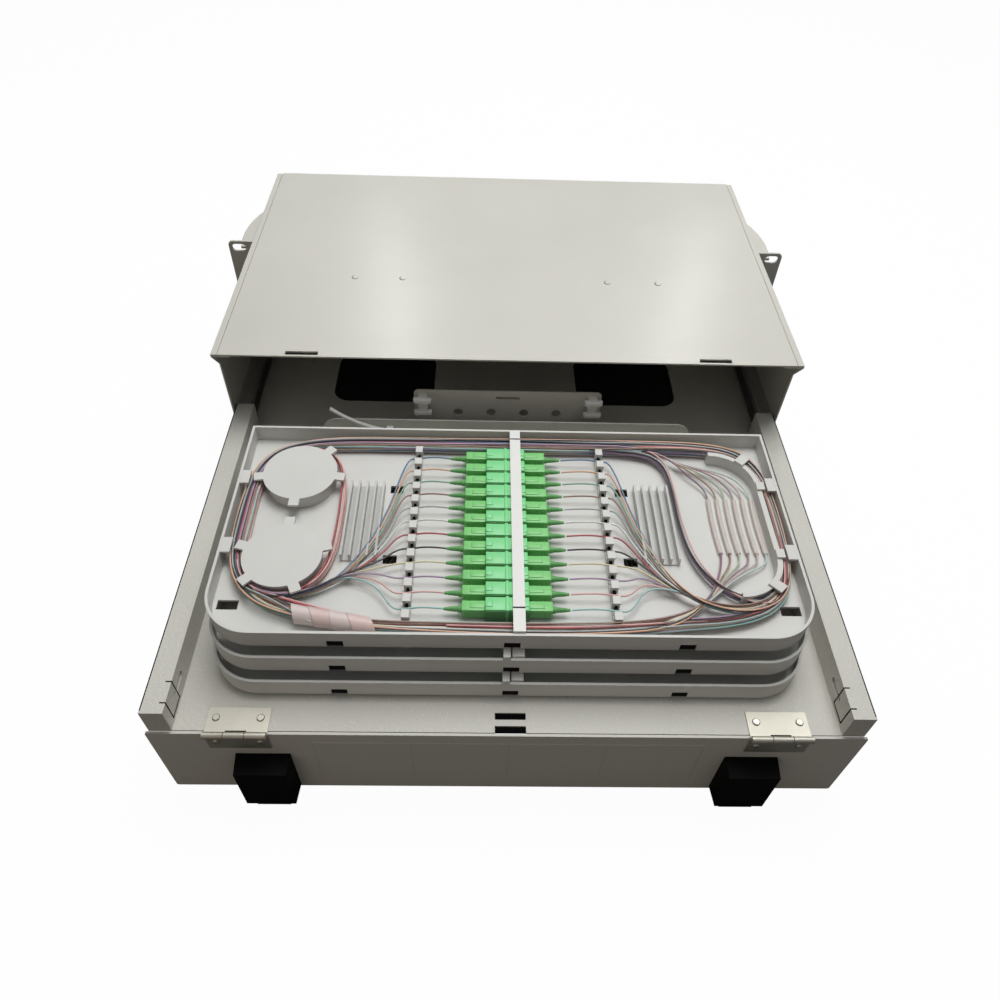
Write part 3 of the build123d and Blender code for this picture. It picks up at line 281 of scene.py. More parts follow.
class DrawerStage(bpy.types.PropertyGroup):
    """Camera and light."""

    eye: bpy.props.FloatVectorProperty(
        name="Camera place", description="Where the camera stands", subtype="XYZ", unit="LENGTH", size=3,
        default=(-20.87 * MM, -634.04 * MM, 418.6 * MM))
    pitch: bpy.props.FloatProperty(
        name="Pitch", description="How far the camera looks down", subtype="ANGLE", default=0.8377)
    yaw: bpy.props.FloatProperty(
        name="Yaw", description="How far the camera is turned to the left", subtype="ANGLE", default=-0.0375)
    roll: bpy.props.FloatProperty(
        name="Roll", description="Tilt of the picture", subtype="ANGLE", default=-0.0432)
    focal_pixels: bpy.props.FloatProperty(
        name="Focal length", description="Focal length in pixels of the square picture",
        default=807.97, min=100)
    key_light: bpy.props.FloatProperty(
        name="Key light", description="Power of the ceiling light in watts", subtype="POWER",
        default=16.5, min=0)
    fill_light: bpy.props.FloatProperty(
        name="Fill light", description="Power of the front fill in watts", subtype="POWER",
        default=0.85, min=0)
    fill_colour: bpy.props.FloatVectorProperty(
        name="Fill colour", description="Warm colour of the front fill", subtype="COLOR", size=3,
        default=(1.0, 0.75, 0.56), min=0.0, max=1.0)
    lamps: bpy.props.FloatProperty(
        name="Lamps", description="Power of each of the two lamps that shine in the cover", subtype="POWER",
        default=1.5, min=0)
    sky: bpy.props.FloatProperty(
        name="Sky", description="Strength of the even surrounding light", default=0.35, min=0)


def powder_coat(name, colour, coarse_peel_and_glints=False, gloss=0.0):
    """Light powder coat: fine orange peel, faint clouding and, on the drawer floor, coarser peel and small
    bright flecks of painted glint.
    """
    coat = Finish(name, Metallic=0.0, Coat_Weight=gloss, Coat_Roughness=0.25)
    cloud = coat.noise(14.0, 4.0)
    peel = coat.noise(420.0 if coarse_peel_and_glints else 900.0, 2.0) + coat.noise(2600.0, 1.0) * 0.4
    tone = coat.blend(cloud, shade(colour, 0.93), shade(colour, 1.05))
    if coarse_peel_and_glints:
        # Painted glints: small bright flecks in the colour for the lamps' sparkle on the bumpy paint
        painted_glint = (1.0 - coat.speckle(620.0)).above(0.84) * coat.noise(200.0, 1.0).above(0.50)
        tone = coat.blend(painted_glint * 0.75, tone, shade(colour, 1.45))
    normal = coat.soft_edges(0.5 * MM, coat.bump(peel, 0.6 if coarse_peel_and_glints else 0.12, 0.0006))
    return coat.set(Base_Color=tone, Roughness=0.40 + cloud * 0.14, Normal=normal).material


def rolled_zinc(name, colour, along=(60, 1, 60), rough=0.30):
    """Plated steel with rolling streaks along one axis."""
    zinc = Finish(name, Metallic=1.0)
    streak = zinc.noise(26.0, 5.0, 0.6, along)
    bloom = zinc.noise(45.0, 3.0)
    tone = zinc.blend(streak, shade(colour, 0.78), shade(colour, 1.12))
    normal = zinc.soft_edges(0.25 * MM, zinc.bump(streak, 0.10, 0.0003))
    return zinc.set(Base_Color=tone, Roughness=rough + bloom * 0.18, Normal=normal).material


def moulded(name, colour, rough=0.42, grain=1800.0, edge=0.35 * MM, alpha=1.0, sheen=0.5):
    """Moulded plastic: fine spark-eroded grain, faint flow marks and softened edges."""
    plastic = Finish(name, Metallic=0.0, Alpha=alpha, Specular_IOR_Level=sheen)
    flow = plastic.noise(28.0, 3.0)
    texture = plastic.noise(grain, 2.0)
    tone = plastic.blend(flow, shade(colour, 0.94), shade(colour, 1.05))
    normal = plastic.soft_edges(edge, plastic.bump(texture, 0.08, 0.0003))
    return plastic.set(Base_Color=tone, Roughness=rough + flow * 0.12, Normal=normal).material


def fibre_coating(name, colour):
    """Smooth coated glass fibre with a slight change of tone along its length."""
    coat = Finish(name, Metallic=0.0, Roughness=0.35)
    drift = coat.noise(60.0, 2.0)
    return coat.set(Base_Color=coat.blend(drift, shade(colour, 0.82), shade(colour, 1.1))).material


def label_stock(name, colour):
    """Bare label card with faint ruled columns."""
    card = Finish(name, Metallic=0.0, Roughness=0.55)
    rule = card.node("ShaderNodeTexWave", {"bands_direction": "X", "wave_profile": "SAW"},
                     {"Vector": card.place(), "Scale": 5.2, "Distortion": 0.0})
    line = rule.above(0.985)
    paper = card.noise(700.0, 2.0)
    tone = card.blend(line * 0.35, shade(colour, 1.0), shade(colour, 0.72))
    return card.set(Base_Color=tone, Normal=card.bump(paper, 0.05, 0.0002)).material


def dress(material, *nodes):
    """Gives frame nodes a finish through their material slots."""
    for name in nodes:
        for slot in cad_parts[name].material_slots:
            slot.material = material


def both(name):
    """A frame node's left and right names."""
    return [f"{name}_{side}" for side in SIDES]


def each_tray(name):
    """A frame node's name in every tray."""
    return [f"{name}_{tray}" for tray in TRAYS]


def finished_object(name, mesh, materials, body):
    """Links a finished mesh as a piece of the object that rides on a body."""
    piece = bpy.data.objects.new(name, mesh)
    bpy.context.scene.collection.objects.link(piece)
    for material in materials:
        mesh.materials.append(material)
    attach(piece, body)
    return piece


def mesh_from(name, bm, smooth_angle=None):
    """Turns a bmesh into a mesh, with its normals outwards and shaded smooth below an angle."""
    bmesh.ops.recalc_face_normals(bm, faces=bm.faces)
    mesh = bpy.data.meshes.new(name)
    bm.to_mesh(mesh)
    bm.free()
    if smooth_angle is not None:
        mesh.shade_smooth()
        mesh.set_sharp_from_angle(angle=math.radians(smooth_angle))
    return mesh


def add_block(bm, low, high, bevel=0.0, segments=1, paint=0):
    """Adds a box between two corners, with its edges bevelled."""
    low, high = Vector(low), Vector(high)
    size = high - low
    place = Matrix.Translation((low + high) / 2) @ Matrix.Diagonal((*size, 1.0))
    made = bmesh.ops.create_cube(bm, size=1.0, matrix=place)
    faces = {f for v in made["verts"] for f in v.link_faces}
    for face in faces:
        face.material_index = paint
    if bevel > 0:
        edges = {e for v in made["verts"] for e in v.link_edges}
        bmesh.ops.bevel(bm, geom=list(edges), offset=bevel, offset_type="OFFSET", segments=segments,
                        profile=0.5, affect="EDGES", material=-1)


def dark_marks(name, blocks, finish, body):
    """One piece of thin dark strips: painted shade in slits and gaps too fine to cut, and dark joint lines.
    """
    bm = bmesh.new()
    for low, high in blocks:
        add_block(bm, low, high)
    finished_object(name, mesh_from(name, bm), [finish], body)


def add_tube(bm, start, end, radius, end_radius, sides=12, paint=0):
    """Adds a closed round bar, tapered from one end to the other."""
    start, end = Vector(start), Vector(end)
    turn = (end - start).to_track_quat("Z", "Y").to_matrix().to_4x4()
    place = Matrix.Translation((start + end) / 2) @ turn
    made = bmesh.ops.create_cone(bm, cap_ends=True, segments=sides, radius1=radius, radius2=end_radius,
                                 depth=(end - start).length, matrix=place)
    for face in {f for v in made["verts"] for f in v.link_faces}:
        face.material_index = paint


def copies(bm, places):
    """Fills a new bmesh with one copy of bm's mesh at each place."""
    source = bpy.data.meshes.new("source")
    bm.to_mesh(source)
    bm.free()
    filled = bmesh.new()
    for place in places:
        before = len(filled.verts)
        filled.from_mesh(source)
        filled.verts.ensure_lookup_table()
        bmesh.ops.translate(filled, vec=place, verts=filled.verts[before:])
    bpy.data.meshes.remove(source)
    return filled


def flowing_curve(points):
    """A smooth curve led by control points, from the first to the last."""
    curve = bpy.data.curves.new("route", "CURVE")
    curve.dimensions = "3D"
    curve.resolution_u = 5
    spline = curve.splines.new("NURBS")
    spline.points.add(len(points) - 1)
    for point, place in zip(spline.points, points):
        point.co = (*place, 1.0)
    spline.order_u = 3
    spline.use_endpoint_u = True
    return curve


def strands(name, routes, radius, roundness, materials, body):
    """One piece of many round strands: routes is a list of (control points, finish number)."""
    bm = bmesh.new()
    for points, paint in routes:
        curve = flowing_curve(points)
        curve.bevel_depth = radius
        curve.bevel_resolution = roundness
        curve.use_fill_caps = True
        holder = bpy.data.objects.new("route", curve)
        tube = bpy.data.meshes.new_from_object(holder)
        before = len(bm.faces)
        bm.from_mesh(tube)
        bm.faces.ensure_lookup_table()
        for face in bm.faces[before:]:
            face.material_index = paint
            face.smooth = True
        bpy.data.objects.remove(holder)
        bpy.data.curves.remove(curve)
        bpy.data.meshes.remove(tube)
    mesh = bpy.data.meshes.new(name)
    bm.to_mesh(mesh)
    bm.free()
    return finished_object(name, mesh, materials, body)


class DrawerOperator:
    """Common part of the operators that build one group of pieces."""

    bl_options = {"REGISTER", "UNDO"}

    @staticmethod
    def finishes(context):
        return context.scene.drawer_finishes


class OBJECT_OT_drawer_stage(DrawerOperator, bpy.types.Operator):
    """Set up the camera, the white surroundings, the floor and the lights"""

    bl_idname = "object.drawer_stage"
    bl_label = "Stage"

    def execute(self, context):
        scene = context.scene
        look = scene.drawer_stage
        scene.view_settings.view_transform = "Standard"
        self.camera(scene, look)
        self.surroundings(scene, look)
        self.floor(scene)
        self.mat(scene)
        self.area_light(scene, "key", KEY, look.key_light)
        fill = self.area_light(scene, "fill", FILL, look.fill_light)
        fill.color = look.fill_colour
        self.area_light(scene, "lamp_left", LAMP_LEFT, look.lamps)
        self.area_light(scene, "lamp_right", LAMP_RIGHT, look.lamps)
        return {"FINISHED"}

    @staticmethod
    def camera(scene, look):
        data = bpy.data.cameras.new("camera")
        data.sensor_width = 36.0
        data.lens = look.focal_pixels * data.sensor_width / PHOTO_SIZE
        data.clip_start = 0.01
        turn = (Matrix.Rotation(look.yaw, 3, "Z") @ Matrix.Rotation(-look.pitch, 3, "X")
                @ Matrix.Rotation(look.roll, 3, "Y"))
        right, forward, up = turn.col
        camera = bpy.data.objects.new("camera", data)
        axes = Matrix((right, up, -forward)).transposed().to_4x4()
        camera.matrix_world = Matrix.Translation(look.eye) @ axes
        scene.collection.objects.link(camera)
        scene.camera = camera

    @staticmethod
    def surroundings(scene, look):
        """Pure white to the camera; to the object a sky that is bright overhead and dim at the horizon."""
        world = bpy.data.worlds.new("surroundings")
        world.use_nodes = True
        tree = world.node_tree
        back = tree.nodes["Background"]
        coords = tree.nodes.new("ShaderNodeTexCoord")
        split = tree.nodes.new("ShaderNodeSeparateXYZ")
        tree.links.new(coords.outputs["Generated"], split.inputs[0])
        dome = tree.nodes.new("ShaderNodeMapRange")
        tree.links.new(split.outputs["Z"], dome.inputs["Value"])
        dome.inputs["From Min"].default_value = 0.1
        dome.inputs["To Min"].default_value = look.sky * HORIZON
        dome.inputs["To Max"].default_value = look.sky
        path = tree.nodes.new("ShaderNodeLightPath")
        level = tree.nodes.new("ShaderNodeMix")
        tree.links.new(path.outputs["Is Camera Ray"], level.inputs["Factor"])
        tree.links.new(dome.outputs["Result"], level.inputs["A"])
        level.inputs["B"].default_value = 1.0
        back.inputs["Color"].default_value = (1.0, 1.0, 1.0, 1.0)
        tree.links.new(level.outputs["Result"], back.inputs["Strength"])
        scene.world = world

    @staticmethod
    def floor(scene):
        """White floor just under the hanging door, which shows a trace of the object's shadow."""
        place = Matrix.Translation((0, 0, CAD_LOW[2] - FLOOR_GAP))
        bm = bmesh.new()
        bmesh.ops.create_grid(bm, x_segments=1, y_segments=1, size=FLOOR_SIZE, matrix=place)
        floor = bpy.data.objects.new("floor", mesh_from("floor", bm))
        white = Finish("floor_white", Roughness=0.9)
        seen = white.node("ShaderNodeLightPath", {}, {}, "Is Camera Ray")
        white.set(Base_Color=white.blend(seen, (0.10, 0.10, 0.10, 1.0), (0.95, 0.95, 0.95, 1.0)))
        glow = white.node("ShaderNodeEmission", {}, {"Color": (1.0, 1.0, 1.0, 1.0), "Strength": 1.0})
        plain = Value(white, white.shader.outputs[0])
        mixed = white.node("ShaderNodeMixShader", {}, {0: seen * FLOOR_GLOW, 1: plain, 2: glow})
        white.put(white.tree.nodes["Material Output"].inputs["Surface"], mixed)
        floor.data.materials.append(white.material)
        scene.collection.objects.link(floor)
        floor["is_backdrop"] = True

    @staticmethod
    def mat(scene):
        """Dark card of painted shade right under the housing, which shows through the windows in its floor.
        """
        low, high = corners("housing_base")
        bm = bmesh.new()
        add_block(bm, (low.x + SHADOW_CARD_INSET, low.y + SHADOW_CARD_INSET, low.z - SHADOW_CARD_GAP - SHADOW_CARD_T),
                  (high.x - SHADOW_CARD_INSET, high.y - SHADOW_CARD_REAR_INSET, low.z - SHADOW_CARD_GAP))
        mat = bpy.data.objects.new("mat", mesh_from("mat", bm))
        # Black for the painted shade under the housing
        black = Finish("shadow_card_black", Base_Color=(0.004, 0.004, 0.004, 1.0), Roughness=0.9)
        mat.data.materials.append(black.material)
        scene.collection.objects.link(mat)
        mat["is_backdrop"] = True

    @staticmethod
    def area_light(scene, name, setting, power):
        """Adds a light and gives its data."""
        place, target, width, height = setting
        data = bpy.data.lights.new(name, "AREA")
        data.shape = "RECTANGLE"
        data.size = width
        data.size_y = height
        data.energy = power
        light = bpy.data.objects.new(name, data)
        aim = (Vector(target) - Vector(place)).to_track_quat("-Z", "Y").to_matrix().to_4x4()
        light.matrix_world = Matrix.Translation(place) @ aim
        scene.collection.objects.link(light)
        return data


class OBJECT_OT_drawer_housing(DrawerOperator, bpy.types.Operator):
    """Finish the housing, its cover, ears, screws and cable grommets"""

    bl_idname = "object.drawer_housing"
    bl_label = "Housing"

    def execute(self, context):
        look = self.finishes(context)
        paint = powder_coat("housing_paint", look.paint, gloss=0.6)
        dress(paint, "housing_base", "housing_rear", "top_cover", *both("housing_side"), *both("rack_ear"))
        dress(rolled_zinc("screw_zinc", look.zinc, (1, 1, 1), 0.25), "cover_screws", "ear_screws")
        dress(moulded("grommet_rubber", look.black, 0.6), "cable_grommets")
        # Dark crescents of painted shade on the pressed weld rings
        self.weld_ring_shade(powder_coat("weld_shade", shade(look.paint, 0.25)), paint)
        return {"FINISHED"}

    @staticmethod
    def weld_ring_shade(shaded, paint):
        """Shallow pressed rings on the cover where the stiffener below is spot-welded, each a dark crescent
        of painted shade, open to one side.
        """
        top = corners("top_cover")[1].z
        rings = bmesh.new()
        for x in WELDS_X:
            foot = Vector((x, WELD_Y, top))
            add_tube(rings, foot, foot + Vector((0, 0, MARK_T)), WELD_R, WELD_R, 24, 0)
            # The plain core, shifted, leaves the painted shade as a crescent on one side
            foot += WELD_CORE_SHIFT
            add_tube(rings, foot, foot + Vector((0, 0, WELD_CORE_H)), WELD_CORE_R, WELD_CORE_TOP_R, 24, 1)
        finished_object("weld_ring_shade", mesh_from("weld_ring_shade", rings, 40), [shaded, paint], "housing")


class OBJECT_OT_drawer_slides(DrawerOperator, bpy.types.Operator):
    """Finish the telescopic slides"""

    bl_idname = "object.drawer_slides"
    bl_label = "Slides"

    def execute(self, context):
        zinc = rolled_zinc("slide_zinc", self.finishes(context).zinc)
        dress(zinc, *both("slide_outer"), *both("slide_middle"), *both("slide_inner"))
        return {"FINISHED"}


class OBJECT_OT_drawer_pan(DrawerOperator, bpy.types.Operator):
    """Finish the drawer pan, the bracket and guide plate behind the trays, and the hinges"""

    bl_idname = "object.drawer_pan"
    bl_label = "Drawer"

    def execute(self, context):
        look = self.finishes(context)
        # The drawer floor gets coarser peel and painted glints
        dress(powder_coat("drawer_paint", look.paint, True, 0.15), "drawer_pan")
        dress(powder_coat("bracket_paint", look.paint), "cable_bracket", "guide_plate")
        plate = rolled_zinc("hinge_plate", look.hinge, (1, 1, 1), 0.42)
        dress(plate, "hinge_leaves_floor", "hinge_leaves_door", "hinge_pins")
        dress(rolled_zinc("rivet_plate", shade(look.hinge, 1.06), (1, 1, 1), 0.28),
              "hinge_rivets_floor", "hinge_rivets_door")
        # Black for painted shade in the hinge gaps, the release slits and under the finger slots, and for a
        # painted shadow line along each channel's outer edge
        dark = moulded("pan_slit_shade", look.black, 0.8, sheen=0.0)
        dark_marks("hinge_slot_shade", self.hinge_slot_shade(), dark, "drawer")
        dark_marks("release_slit_and_edge_shade", self.release_slit_and_edge_shade(), dark, "drawer")
        dark_marks("slot_shade", self.slot_shade(), dark, "drawer")
        return {"FINISHED"}

    @staticmethod
    def hinge_slot_shade():
        """Painted shade in the gaps of the floor leaves behind the door leaves' knuckles."""
        low, high = corners("hinge_leaves_floor")
        pin_low, pin_high = corners("hinge_pins")
        pin = ((pin_low + pin_high) / 2).y
        near, far = (pin + y for y in KNUCKLE_GAP_Y)
        for sign in SIDES.values():
            x = sign * (high.x - HINGE_W / 2)
            yield (x - HINGE_W / 6, near, low.z), (x + HINGE_W / 6, far, low.z + LEAF_T)

    @staticmethod
    def release_slit_and_edge_shade():
        """Painted shade in the slits round the release tab lanced in each channel, and a painted shadow line
        along the outer edge of the channel.
        """
        low, high = corners("drawer_pan")
        floor = corners("hinge_leaves_floor")[0].z
        front, rear = (low.y + y for y in TAB_Y)
        foot_low, foot_high = (floor + z for z in TAB_FOOT_Z)
        top = high.z + MARK_T
        for sign in SIDES.values():
            wall = sign * CHANNEL_X
            inner, outer = sorted((wall, wall - sign * SLIT_T))
            start, end = sorted((wall, wall + sign * TAB_TOP_L))
            for y in (front, rear):
                yield (inner, y - SLIT_HALF_W, floor + TAB_LOW), (outer, y + SLIT_HALF_W, high.z)
                yield (start, y - SLIT_HALF_W, high.z), (end, y + SLIT_HALF_W, top)
            yield (inner, front, foot_low), (outer, rear, foot_high)
            # Painted shadow line along the channel's outer top edge
            start, end = sorted((sign * high.x, sign * (high.x - CHANNEL_EDGE_SHADOW)))
            yield (start, low.y + CHANNEL_START, high.z), (end, high.y, top)

    @staticmethod
    def slot_shade():
        """Dark plate of painted shade just under the finger slots in the drawer floor."""
        low = corners("drawer_pan")[0]
        front, rear = (low.y + y for y in FINGER_SLOTS_Y)
        bottom, top = (low.z + z for z in FINGER_SHADE_Z)
        reach = FINGER_SLOT_L / 2 + FINGER_SLOT_MARGIN
        yield (-reach, front, bottom), (reach, rear, top)


class OBJECT_OT_drawer_door(DrawerOperator, bpy.types.Operator):
    """Finish the hanging door with its label and latches"""

    bl_idname = "object.drawer_door"
    bl_label = "Door"

    def execute(self, context):
        look = self.finishes(context)
        dress(powder_coat("door_paint", shade(look.paint, 1.02)), "door_panel")
        dress(label_stock("label_card", shade(look.paint, 0.98)), "label_card")
        black = moulded("latch_black", look.black, 0.55, sheen=0.06)
        dress(black, *both("latch_body"), *both("latch_bolt"))
        dress(rolled_zinc("spring_steel", look.zinc, (1, 1, 1), 0.25), *both("latch_spring"))
        return {"FINISHED"}


def tray_origin(tray):
    """Middle of a tray's rear edge, on the tray's floor."""
    front = corners(f"tray_{tray}")[0].y
    floor = corners(f"fibre_guides_{tray}")[0].z
    return Vector((0.0, front + TRAY_D, floor))


class OBJECT_OT_drawer_trays(DrawerOperator, bpy.types.Operator):
    """Finish the splice trays, their fibre guides and their pivot arms"""

    bl_idname = "object.drawer_trays"
    bl_label = "Splice trays"

    def execute(self, context):
        look = self.finishes(context)
        plastic = moulded("tray_plastic", look.tray)
        dress(plastic, *each_tray("tray"), *each_tray("fibre_guides"))
        dress(plastic, "pivot_arms_bottom", "pivot_arms_middle")
        # Dark grey for painted shade in the notches and comb gaps, and for the clamp bars' dark joints
        dark = moulded("tray_shade_and_joint_dark", shade(look.black, 4.0), 0.8, sheen=0.0)
        for tray, body in TRAYS.items():
            dark_marks(f"tray_gaps_{tray}", self.shade_and_joints(tray), dark, body)
        return {"FINISHED"}

    @staticmethod
    def shade_and_joints(tray):
        """Painted shade in the front wall's notches and between the comb teeth, and dark lines on the clamp
        bar's two joints.
        """
        floor = tray_origin(tray).z
        wall = corners(f"tray_{tray}")[0].y
        near, far = (wall + y for y in NOTCH_SHADE_Y)
        bottom, top = (floor - TRAY_FLOOR + z for z in NOTCH_SHADE_Z)
        for n in (-1, 0, 1):
            x = n * NOTCH_X
            yield (x - NOTCH_HALF_W, near, bottom), (x + NOTCH_HALF_W, far, top)
        low, high = corners(f"adapters_{tray}")
        bottom, top = (floor + z for z in COMB_GAP_Z)
        for sign in SIDES.values():
            x = sign * COMB_X
            yield (x - COMB_GAP_HALF_W, low.y, bottom), (x + COMB_GAP_HALF_W, high.y, top)
        low, high = corners(f"clamp_bar_{tray}")
        for y in (low.y + BAR_JOINT_FRONT, high.y - BAR_JOINT_REAR):
            yield (low.x, y - BAR_JOINT_HALF_W, high.z), (high.x, y + BAR_JOINT_HALF_W, high.z + MARK_T)


class OBJECT_OT_drawer_couplers(DrawerOperator, bpy.types.Operator):
    """Build the rows of couplers and plugs, and finish the clamp bars"""

    bl_idname = "object.drawer_couplers"
    bl_label = "Couplers and plugs"

    def execute(self, context):
        look = self.finishes(context)
        coupler = moulded("coupler_green", look.coupler, 0.30, 2400.0, 0.25 * MM)
        # Darker copy of the green on the couplers' bodies: painted shade on their sides below the lids
        side = moulded("coupler_shaded_side", shade(look.plug, 0.55), 0.34, 2400.0, 0.25 * MM)
        plug = moulded("plug_green", look.plug, 0.30, 2400.0, 0.25 * MM)
        boot = moulded("boot_green", shade(look.plug, 0.62), 0.45)
        dress(moulded("clamp_nylon", look.nylon, 0.36), *each_tray("clamp_bar"))
        for tray, body in TRAYS.items():
            low, high = corners(f"adapters_{tray}")
            middle = (low + high) / 2
            pitch = (high.y - low.y) / COUPLERS
            places = [Vector((middle.x, high.y - pitch * (n + 0.5), low.z)) for n in range(COUPLERS)]
            width = high.x - low.x
            row = copies(self.coupler(width, pitch - COUPLER_GAP, high.z - low.z), places)
            mesh = mesh_from("couplers", row, 35)
            piece = finished_object(f"coupler_row_{tray}", mesh, [coupler, side], body)
            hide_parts(f"adapters_{tray}")
            low, high = corners(f"plugs_{tray}")
            ends = copies(self.plug_pair(width / 2, (high.x - low.x) / 2, PLUG_W), places)
            piece = finished_object(f"plug_row_{tray}", mesh_from("plugs", ends, 35), [plug, boot], body)
            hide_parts(f"plugs_{tray}")
        return {"FINISHED"}

    @staticmethod
    def coupler(length, width, height):
        """One coupler: two halves, each with a lid and a key rib, and the flange where they meet."""
        half, side = length / 2, width / 2
        seam, flange, flange_edge = 0.6 * MM, 1.1 * MM, 0.4 * MM
        shoulder, lid = height - 1.4 * MM, height - 0.4 * MM
        edge, lid_inset, lid_sunk = 0.5 * MM, 0.5 * MM, 0.6 * MM
        rib_l, rib_share, rib_h, rib_edge = 4.5 * MM, 0.42, 0.8 * MM, 0.3 * MM
        bm = bmesh.new()
        for sign in SIDES.values():
            start, end = sorted((sign * half, sign * seam))
            # The body takes finish 1, the painted shade on the sides; the lid, rib and flange keep the lit
            # green
            add_block(bm, (start, -side, 0), (end, side, shoulder), edge, 2, 1)
            add_block(bm, (start, -side + lid_inset, shoulder - lid_sunk), (end, side - lid_inset, lid),
                      edge, 2, 0)
            start, end = sorted((sign * half, sign * (half - rib_l)))
            add_block(bm, (start, -side * rib_share, height - rib_h), (end, side * rib_share, height),
                      rib_edge, 2, 0)
        add_block(bm, (-flange, -side, 0), (flange, side, height), flange_edge, 2, 0)
        return bm

    @staticmethod
    def plug_pair(reach, half_length, width):
        """The plugs on both ends of one coupler: housing with key rail and grip ribs, collar and boot."""
        side = width / 2
        axis, bottom, top, edge = 5.6 * MM, 1.4 * MM, 9.7 * MM, 0.5 * MM
        seated = 0.5 * MM
        rail_short, rail_share, rail_low, rail_top, rail_edge = 5.0 * MM, 0.55, 9.3 * MM, 10.1 * MM, 0.3 * MM
        ribs, rib_first, rib_pitch = 4, 1.2, 1.5
        rib_half, rib_out, rib_low, rib_top, rib_edge = 0.35 * MM, 0.3 * MM, 2.2 * MM, 9.0 * MM, 0.2 * MM
        collar_l, collar_r, collar_end_r = 2.4 * MM, 2.4 * MM, 2.2 * MM
        boot_r, tip_r = 1.75 * MM, 0.95 * MM
        rings, ring_half = 4, 0.45 * MM
        bm = bmesh.new()
        for sign in SIDES.values():
            mouth, back = sign * (reach - seated), sign * (reach + PLUG_OUT)
            start, end = sorted((mouth, back))
            add_block(bm, (start, -side, bottom), (end, side, top), edge, 2, 0)
            start, end = sorted((mouth, sign * (reach + PLUG_OUT - rail_short)))
            add_block(bm, (start, -side * rail_share, rail_low), (end, side * rail_share, rail_top),
                      rail_edge, 2, 0)
            for n in range(ribs):
                rib = sign * (reach + PLUG_OUT - (rib_first + rib_pitch * n) * MM)
                add_block(bm, (rib - rib_half, -side - rib_out, rib_low),
                          (rib + rib_half, side + rib_out, rib_top), rib_edge, 1, 0)
            collar = sign * (reach + PLUG_OUT + collar_l)
            add_tube(bm, (back, 0, axis), (collar, 0, axis), collar_r, collar_end_r, 20, 1)
            tip = sign * half_length
            add_tube(bm, (collar, 0, axis), (tip, 0, axis), boot_r, tip_r, 20, 1)
            for n in range(rings):
                ring = collar + (tip - collar) * (0.14 + 0.17 * n)
                ring_r = (1.85 - 0.13 * n) * MM
                add_tube(bm, (ring - ring_half, 0, axis), (ring + ring_half, 0, axis), ring_r, ring_r, 20, 1)
        return bm


class OBJECT_OT_drawer_splices(DrawerOperator, bpy.types.Operator):
    """Finish the ribbed splice holders and build the clear splice sleeves"""

    bl_idname = "object.drawer_splices"
    bl_label = "Splice holders and sleeves"

    def execute(self, context):
        look = self.finishes(context)
        holder = moulded("holder_clear", shade(look.nylon, 0.98), 0.22, 2400.0, 0.2 * MM, 0.62)
        dress(holder, *each_tray("splice_holders"))
        sleeve = moulded("sleeve_milky", (0.80, 0.71, 0.66, 1.0), 0.18, 2400.0, 0.1 * MM, 0.62)
        rod = rolled_zinc("sleeve_rod", look.zinc, (60, 1, 60), 0.22)
        for tray, body in TRAYS.items():
            low, high = corners(f"splice_sleeves_{tray}")
            middle = (low + high) / 2
            radius = (high.z - low.z) / 2
            rod_r, rod_z = radius * ROD_SHARE, middle.z - radius * ROD_DROP
            bm = bmesh.new()
            for n in range(SLEEVES):
                x = low.x + radius + (high.x - low.x - 2 * radius) * n / (SLEEVES - 1)
                add_tube(bm, (x, low.y, middle.z), (x, high.y, middle.z), radius, radius, 20, 0)
                add_tube(bm, (x, low.y + ROD_INSET, rod_z), (x, high.y - ROD_INSET, rod_z),
                         rod_r, rod_r, 12, 1)
            self.bow(bm, low, high)
            piece = finished_object(f"sleeve_row_{tray}", mesh_from("sleeves", bm, 40), [sleeve, rod], body)
            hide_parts(f"splice_sleeves_{tray}")
        return {"FINISHED"}

    @staticmethod
    def bow(bm, low, high):
        """Bends the sleeves slightly sideways between their ends, as shrinking leaves them."""
        length = high.y - low.y
        long = [e for e in bm.edges if abs(e.verts[0].co.y - e.verts[1].co.y) > length / 2]
        bmesh.ops.subdivide_edges(bm, edges=long, cuts=SLEEVE_CUTS, use_grid_fill=True)
        for vert in bm.verts:
            vert.co.x -= SLEEVE_BOW * math.sin(math.pi * (vert.co.y - low.y) / length)


class OBJECT_OT_drawer_fittings(DrawerOperator, bpy.types.Operator):
    """Finish the white cable clips and the nylon tie"""

    bl_idname = "object.drawer_fittings"
    bl_label = "Cable fittings"

    def execute(self, context):
        dress(moulded("fitting_nylon", self.finishes(context).nylon, 0.38), "cable_clips", "cable_tie")
        return {"FINISHED"}


FIBRE_COLOURS = ((0.16, 0.25, 0.38), (0.72, 0.44, 0.30), (0.26, 0.44, 0.36), (0.34, 0.22, 0.17),
                 (0.42, 0.45, 0.45), (0.74, 0.74, 0.70), (0.45, 0.10, 0.11), (0.05, 0.05, 0.055),
                 (0.72, 0.66, 0.44), (0.42, 0.31, 0.44), (0.74, 0.46, 0.43), (0.36, 0.58, 0.56))

